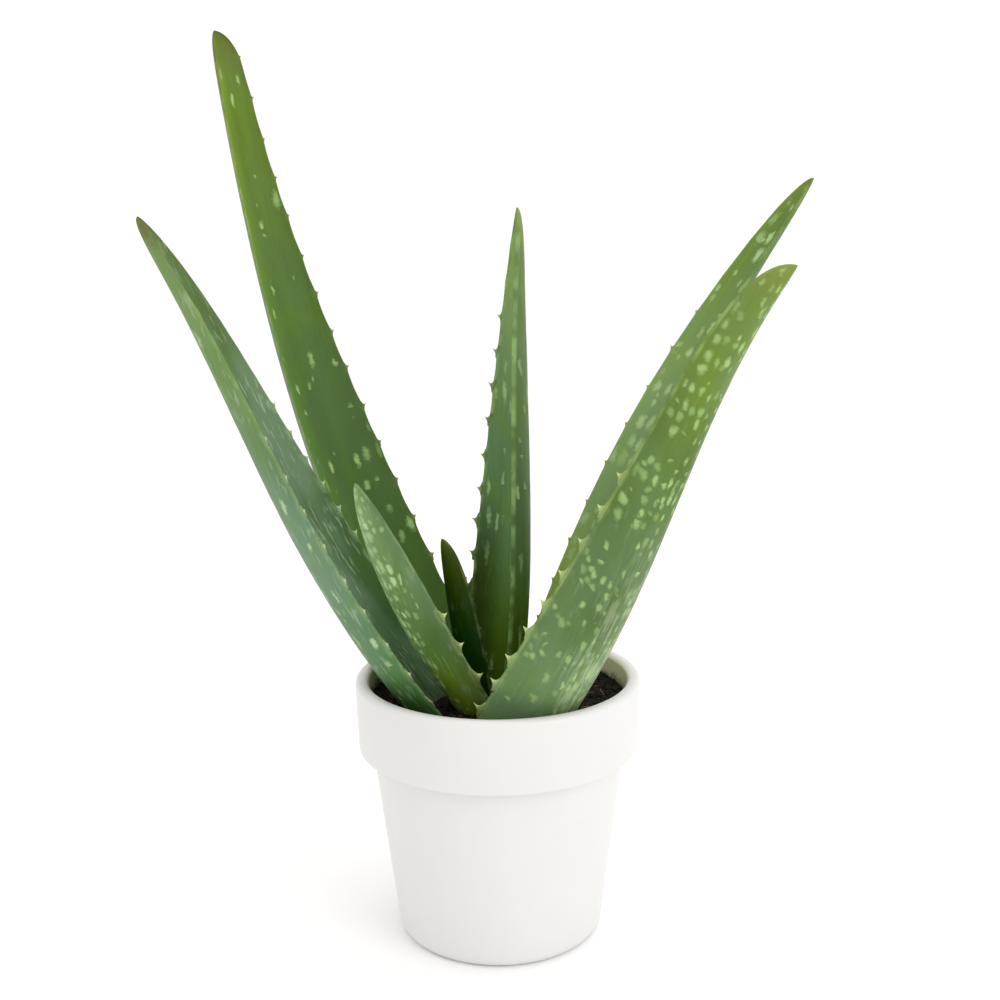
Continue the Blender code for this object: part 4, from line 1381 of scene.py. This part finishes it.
# %% The stem and its crown
HEART = Vector((-4.0, -9.0, 0.0)) * MM     # the middle of the rosette
STEM_RADIUS = 7.0 * MM
STEM_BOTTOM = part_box("stem")[0][2]
STEM_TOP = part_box("stem")[1][2]
CROWN_RADIUS = 11.5 * MM
CROWN_BOTTOM = 93.0 * MM
CROWN_ROUNDING = 4.0 * MM


def turn_stem(name, grow_by):
    """The stem with its crown, larger all round by grow_by."""
    rounding = CROWN_ROUNDING
    points = [(0.0, STEM_TOP + grow_by)]
    points += corner(CROWN_RADIUS - rounding, STEM_TOP - rounding, rounding + grow_by, 75, 0, 6)
    points.append((CROWN_RADIUS + grow_by, CROWN_BOTTOM))
    points.append((STEM_RADIUS + grow_by, CROWN_BOTTOM - 2 * rounding))
    points.append((STEM_RADIUS + grow_by, STEM_BOTTOM - grow_by))
    points.append((0.0, STEM_BOTTOM - grow_by))
    stem = turn_on_lathe(name, points, 48)
    stem.data.transform(Matrix.Translation(HEART))
    return stem


print("stem between", round(STEM_BOTTOM / MM, 1), "and", round(STEM_TOP / MM, 1), "mm")

# %% [markdown]
# ## The leaves grow
# A guide is a plain skin, a hair larger than its leaf, that the later leaves give way to. With all the
# guides there, each leaf is grown from its recipe, from the heart outwards. A cut can leave a thin scrap
# behind a neighbour, where no leaf could live, so only the body of each leaf is kept.

# %% Neighbours and scraps
def group_of(name, items):
    group = bpy.data.collections.new(name)
    scene.collection.children.link(group)
    for item in items:
        group.objects.link(item)
    return group


def keep_largest_body(item):
    """Drops loose scraps, and keeps the body with most points."""
    work = bmesh.new()
    work.from_mesh(item.data)
    bodies = []
    seen = set()
    for start in work.verts:
        if start in seen:
            continue
        body, front = {start}, [start]
        while front:
            for edge in front.pop().link_edges:
                for point in edge.verts:
                    if point not in body:
                        body.add(point)
                        front.append(point)
        seen |= body
        bodies.append(body)
    bodies.sort(key=len)
    for body in bodies[:-1]:
        bmesh.ops.delete(work, geom=list(body), context="VERTS")
    work.to_mesh(item.data)
    work.free()
    return len(bodies) - 1


print("leaves to grow:", len(LEAVES))

# %% [markdown]
# ## From the heart outwards
# The guides come first, with smooth margins and fewer rows. Then each leaf is grown among them.

# %% Grow the seven leaves
guides = {"stem": turn_stem("guide stem", SEAT_GAP)}
for seed, (name, recipe) in enumerate(LEAVES.items()):
    inputs = leaf_inputs(recipe, seed)
    inputs |= {"Grow": SEAT_GAP, "Rows": 60, "Around": 32, "Scallop Left": 0.0, "Scallop Right": 0.0}
    guides[name] = settle(grow("guide " + name, GUIDE_TREE, inputs))

leaves = {}
for seed, (name, recipe) in enumerate(LEAVES.items()):
    inner = group_of("inside " + name, [guides["stem"]] + [guides[other] for other in leaves])
    others = group_of("around " + name, [guides[other] for other in LEAVES if other != name])
    inputs = leaf_inputs(recipe, seed)
    inputs |= {"Inner Leaves": inner, "Other Leaves": others, "Finish": FINISHES[name]}
    leaves[name] = settle(grow("fine_" + name, LEAF_TREE, inputs))
    scraps = keep_largest_body(leaves[name])
    report(leaves[name])
    print("   scraps dropped:", scraps)

# %% [markdown]
# ## The pot
# The pot is slip-cast: an even wall, a straight collar and a small round foot, under a thick white glaze
# that softens every corner. A profile turned on the lathe gives it; each corner is a few steps of an arc.

# %% Turn the pot
POT_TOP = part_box("pot")[1][2]
RIM_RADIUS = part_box("pot")[1][0]
COLLAR_BOTTOM = 88.3 * MM
COLLAR_BOTTOM_RADIUS = 64.1 * MM
BODY_TOP_RADIUS = 58.0 * MM
FOOT_RADIUS = 46.8 * MM
BODY_SLOPE = (BODY_TOP_RADIUS - FOOT_RADIUS) / COLLAR_BOTTOM
FOOT_ROUNDING = 5.0 * MM
FLOOR_CORNER = 4.0 * MM
LIP_ROUNDING = 2.6 * MM
COLLAR_EDGE_ROUNDING = 1.1 * MM
GLAZE_FILLET = 0.9 * MM      # glaze that has pooled under the collar
WALL = 5.6 * MM
FLOOR = 7.0 * MM
COLLAR_RING = 107.0 * MM     # a ring of points about half way up the collar
COLLAR_INSIDE_RADIUS = 59.0 * MM
COLLAR_INSIDE_BOTTOM = 94.0 * MM


def inside_radius(z):
    """Radius of the pot's inside at a height under the collar."""
    return FOOT_RADIUS - WALL + BODY_SLOPE * z


def pot_profile():
    """From the middle of the floor inside, up over the lip and down to the foot."""
    shoulder = COLLAR_BOTTOM - WALL
    lip, edge, fillet = LIP_ROUNDING, COLLAR_EDGE_ROUNDING, GLAZE_FILLET
    points = [(0.0, FLOOR), (inside_radius(FLOOR) * 0.5, FLOOR)]
    points += corner(inside_radius(FLOOR) - FLOOR_CORNER, FLOOR + FLOOR_CORNER, FLOOR_CORNER, -90, 0, 6)
    points += [(inside_radius(z), z) for z in (30 * MM, 50 * MM, 70 * MM)]
    points += [(inside_radius(shoulder), shoulder), (COLLAR_INSIDE_RADIUS, COLLAR_INSIDE_BOTTOM)]
    points.append((COLLAR_INSIDE_RADIUS, COLLAR_RING))
    points += corner(COLLAR_INSIDE_RADIUS + lip, POT_TOP - lip, lip, 180, 90, 8)
    points += corner(RIM_RADIUS - lip, POT_TOP - lip, lip, 90, 0, 8)
    points.append((RIM_RADIUS - 0.3 * MM, COLLAR_RING))
    points += corner(COLLAR_BOTTOM_RADIUS - edge, COLLAR_BOTTOM + edge, edge, 0, -90, 5)
    points += corner(BODY_TOP_RADIUS + fillet, COLLAR_BOTTOM - fillet, fillet, 90, 180, 4)
    points += [(FOOT_RADIUS + BODY_SLOPE * z, z) for z in (80 * MM, 60 * MM, 40 * MM, 20 * MM)]
    foot = FOOT_RADIUS + BODY_SLOPE * FOOT_ROUNDING - FOOT_ROUNDING
    points += corner(foot, FOOT_ROUNDING, FOOT_ROUNDING, 0, -90, 8)
    points += [(foot * 0.5, 0.0), (0.0, 0.0)]
    return points


pot = turn_on_lathe("glazed_pot", pot_profile(), 160)
report(pot)

# %% [markdown]
# ## Potting mix
# The pot is filled with a dark mix of peat and bark, a little uneven, with crumbs and a few pale fibres
# on top. The body is turned like the pot. A tree lifts its top with noise, then scatters crumbs where
# no leaf stands, and ends by making the copies real.

# %% The body of the mix
SOIL_RINGS = 44


def mix_profile():
    """Rings over the top, then down the inside of the pot with an even gap."""
    shoulder = COLLAR_BOTTOM - WALL
    gap = SEAT_GAP
    top = COLLAR_INSIDE_RADIUS - gap
    points = [(top * i / SOIL_RINGS, SOIL_LEVEL) for i in range(SOIL_RINGS + 1)]
    points.append((top, COLLAR_INSIDE_BOTTOM + gap))
    points.append((inside_radius(shoulder) - gap, shoulder + gap))
    points += corner(inside_radius(FLOOR) - FLOOR_CORNER, FLOOR + FLOOR_CORNER, FLOOR_CORNER - gap, 0, -90, 4)
    points.append((0.0, FLOOR + gap))
    return points


print("profile of the mix:", len(mix_profile()), "points")

# %% [markdown]
# ## Crumbs, bark and fibres
# Peat breaks into crumbs, most of them small, with a few larger lumps. Chips of bark and fine root
# fibres lie nearly flat, away from the wall. Each kind is one small mesh copied on points of the top.

# %% Loose things for the top
CRUMBS = {
    "Crumb Size": 0.75 * MM, "Crumb Density": 420000.0, "Bark Density": 14000.0, "Fibre Density": 8000.0,
}
A_TURN = 6.28                # nearly full
CRUMB_ROOM = 0.7 * MM        # crumbs and bark keep this far from leaves and stem
FIBRE_ROOM = 5 * MM
CRUMB_STRIP = 1.6 * MM       # along the wall, where no crumb lies
BARK_STRIP = 6 * MM          # and where no bark or fibre lies


def scatter(tree, ground, density, seed, keep):
    """Points on the ground where keep is true."""
    feeds = {"Mesh": ground, "Density": density, "Seed": seed, "Selection": keep}
    return Wire(tree, place(tree, "GeometryNodeDistributePointsOnFaces", feeds).outputs["Points"])


def lay_copies(tree, points, thing, kind, size, turn, clear):
    """Copies of a thing on points, each carrying its kind."""
    marked = store(tree, points, "kind", kind)
    copies = place(tree, "GeometryNodeInstanceOnPoints", {
        "Points": marked, "Instance": thing, "Scale": size, "Rotation": turn, "Selection": clear})
    return made_real(tree, Wire(tree, copies.outputs[0]))


def make_fibre(tree):
    """A bent strand one long."""
    bend = place(tree, "GeometryNodeCurveQuadraticBezier", {
        "Resolution": 6, "Start": (-0.5, 0.0, 0.0), "Middle": (0.1, 0.22, 0.10), "End": (0.5, 0.0, 0.02)})
    ring = place(tree, "GeometryNodeCurvePrimitiveCircle", {"Resolution": 4, "Radius": 0.018})
    strand = place(tree, "GeometryNodeCurveToMesh", {
        "Curve": Wire(tree, bend.outputs[0]), "Profile Curve": Wire(tree, ring.outputs[0]),
        "Fill Caps": True})
    return Wire(tree, strand.outputs[0])


def make_grain(tree):
    grain = place(tree, "GeometryNodeMeshIcoSphere", {"Radius": 1.0, "Subdivisions": 1})
    return Wire(tree, grain.outputs["Mesh"])


def loose_things(tree, wire, radius, near, far):
    """What lies on the mix: density, thing, kind, size, turn and where it has room."""
    size = wire["Crumb Size"] * (chance(tree, 0.0, 1.0, 3) ** 3.0 * 1.5 + 0.45)
    crumb = axes(tree, size, size * chance(tree, 0.6, 1.0, 5), size * chance(tree, 0.5, 0.9, 6))
    any_way = axes(tree, *(chance(tree, 0.0, A_TURN, seed) for seed in (7, 8, 9)))
    tipped = [chance(tree, -0.35, 0.35, seed) for seed in (10, 11)]
    flat = axes(tree, *tipped, chance(tree, 0.0, A_TURN, 12))
    chip_size = chance(tree, 1.1 * MM, 2.4 * MM, 13)
    chip = axes(tree, chip_size, chip_size * 0.55, chip_size * 0.28)
    strand = chance(tree, 3 * MM, 10 * MM, 14)
    grain = make_grain(tree)
    off_wall = (wire["Radius"] - BARK_STRIP - radius).do("GREATER_THAN", 0.0)
    return [
        (wire["Crumb Density"], grain, chance(tree, 0.05, 1.0, 15), crumb, any_way, near),
        (wire["Bark Density"], grain, OF_BARK, chip, flat, near * off_wall),
        (wire["Fibre Density"], make_fibre(tree), OF_FIBRE, strand, flat, far * off_wall),
    ]


print("loose things:", CRUMBS)

# %% [markdown]
# ## One tree for the mix
# The tree lifts the top with noise, cuts the body clear of leaves and stem, and scatters loose things on
# the open ground. It looks for the neighbours of each point in the same way as the teeth do.

# %% A tree for the mix
def raised_top(tree, wire, position, radius):
    """The plain mix with an uneven top, level at the wall."""
    height = parts_of(tree, position)[2]
    at_top = (height - wire["Level"]).do("GREATER_THAN", -0.5 * MM)
    wavy = cloud(tree, position, 55.0) + cloud(tree, position, 300.0) * 0.5 - 0.75
    inwards = ramp(tree, radius, wire["Radius"], wire["Radius"] - 4 * MM)
    offset = axes(tree, 0.0, 0.0, wavy * 2.0 * wire["Unevenness"] * at_top * inwards)
    raised = place(tree, "GeometryNodeSetPosition", {"Geometry": wire["Mesh"], "Offset": offset})
    return Wire(tree, raised.outputs[0])


def open_ground(tree, wire, position, radius):
    """True on the faces of the top that look up, a little inside the wall."""
    height = parts_of(tree, position)[2]
    upright = parts_of(tree, Wire(tree, place(tree, "GeometryNodeInputNormal").outputs[0]))[2]
    ground = (height - wire["Level"]).do("GREATER_THAN", -3 * MM) * upright.do("GREATER_THAN", 0.6)
    return ground * (wire["Radius"] - CRUMB_STRIP - radius).do("GREATER_THAN", 0.0)


def make_mix_tree():
    takes = {
        "Mesh": ("mesh",), "Level": ("number", SOIL_LEVEL), "Radius": ("number", COLLAR_INSIDE_RADIUS),
        "Unevenness": ("number", 1.2 * MM), **{label: ("number", value) for label, value in CRUMBS.items()},
        "Seed": ("count", 7), "Leaves": ("others",), "Finish": ("finish",),
    }
    tree, wire, out = new_tree("potting mix", "GeometryNodeTree", takes, {"Mesh": "mesh"})
    position = Wire(tree, place(tree, "GeometryNodeInputPosition").outputs[0])
    x, y, _ = parts_of(tree, position)
    radius = (x * x + y * y).do("SQRT")
    standing_in = others_in(tree, wire["Leaves"])
    body = store(tree, raised_top(tree, wire, position, radius), "kind", 0.0)
    body = cut_clear(tree, body, standing_in)
    others = made_real(tree, standing_in)
    near = 1.0 - is_crowded(tree, position, others, CRUMB_ROOM)
    far = 1.0 - is_crowded(tree, position, others, FIBRE_ROOM)
    ground = open_ground(tree, wire, position, radius)
    all_of_it = place(tree, "GeometryNodeJoinGeometry")
    for density, *thing in loose_things(tree, wire, radius, near, far):
        points = scatter(tree, body, density, wire["Seed"], ground)
        tree.links.new(lay_copies(tree, points, *thing).socket, all_of_it.inputs[0])
    tree.links.new(body.socket, all_of_it.inputs[0])
    hand_out(tree, out, Wire(tree, all_of_it.outputs[0]), wire["Finish"])
    return tree


plain_mix = turn_on_lathe("plain mix", mix_profile(), 128)
standing = group_of("standing in the mix", guides.values())
inputs = {"Leaves": standing, "Finish": mix_finish()}
mix_body = settle(grow("potting_mix", make_mix_tree(), inputs, plain_mix.data))
bpy.data.objects.remove(plain_mix)
report(mix_body)

# %% [markdown]
# ## In place of the solids
# The guides have done their work. Each fine piece takes the place of its solid and rides on the one body.

# %% Each piece takes its node's place
for guide in guides.values():
    bpy.data.objects.remove(guide)
stem = turn_stem("crown", 0.0)
pot.data.materials.append(glaze_finish(COLLAR_INSIDE_RADIUS, COLLAR_INSIDE_BOTTOM))
stem.data.materials.append(bark_finish())
PIECES = [(leaf, name, name + "_skin") for name, leaf in leaves.items()]
PIECES += [(pot, "pot", "white_glaze"), (mix_body, "soil", "potting_mix"), (stem, "stem", "stem_bark")]
for piece, node, slot in PIECES:
    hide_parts(node)
    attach(piece, "root")
print("pieces:", len(PIECES))

# %% [markdown]
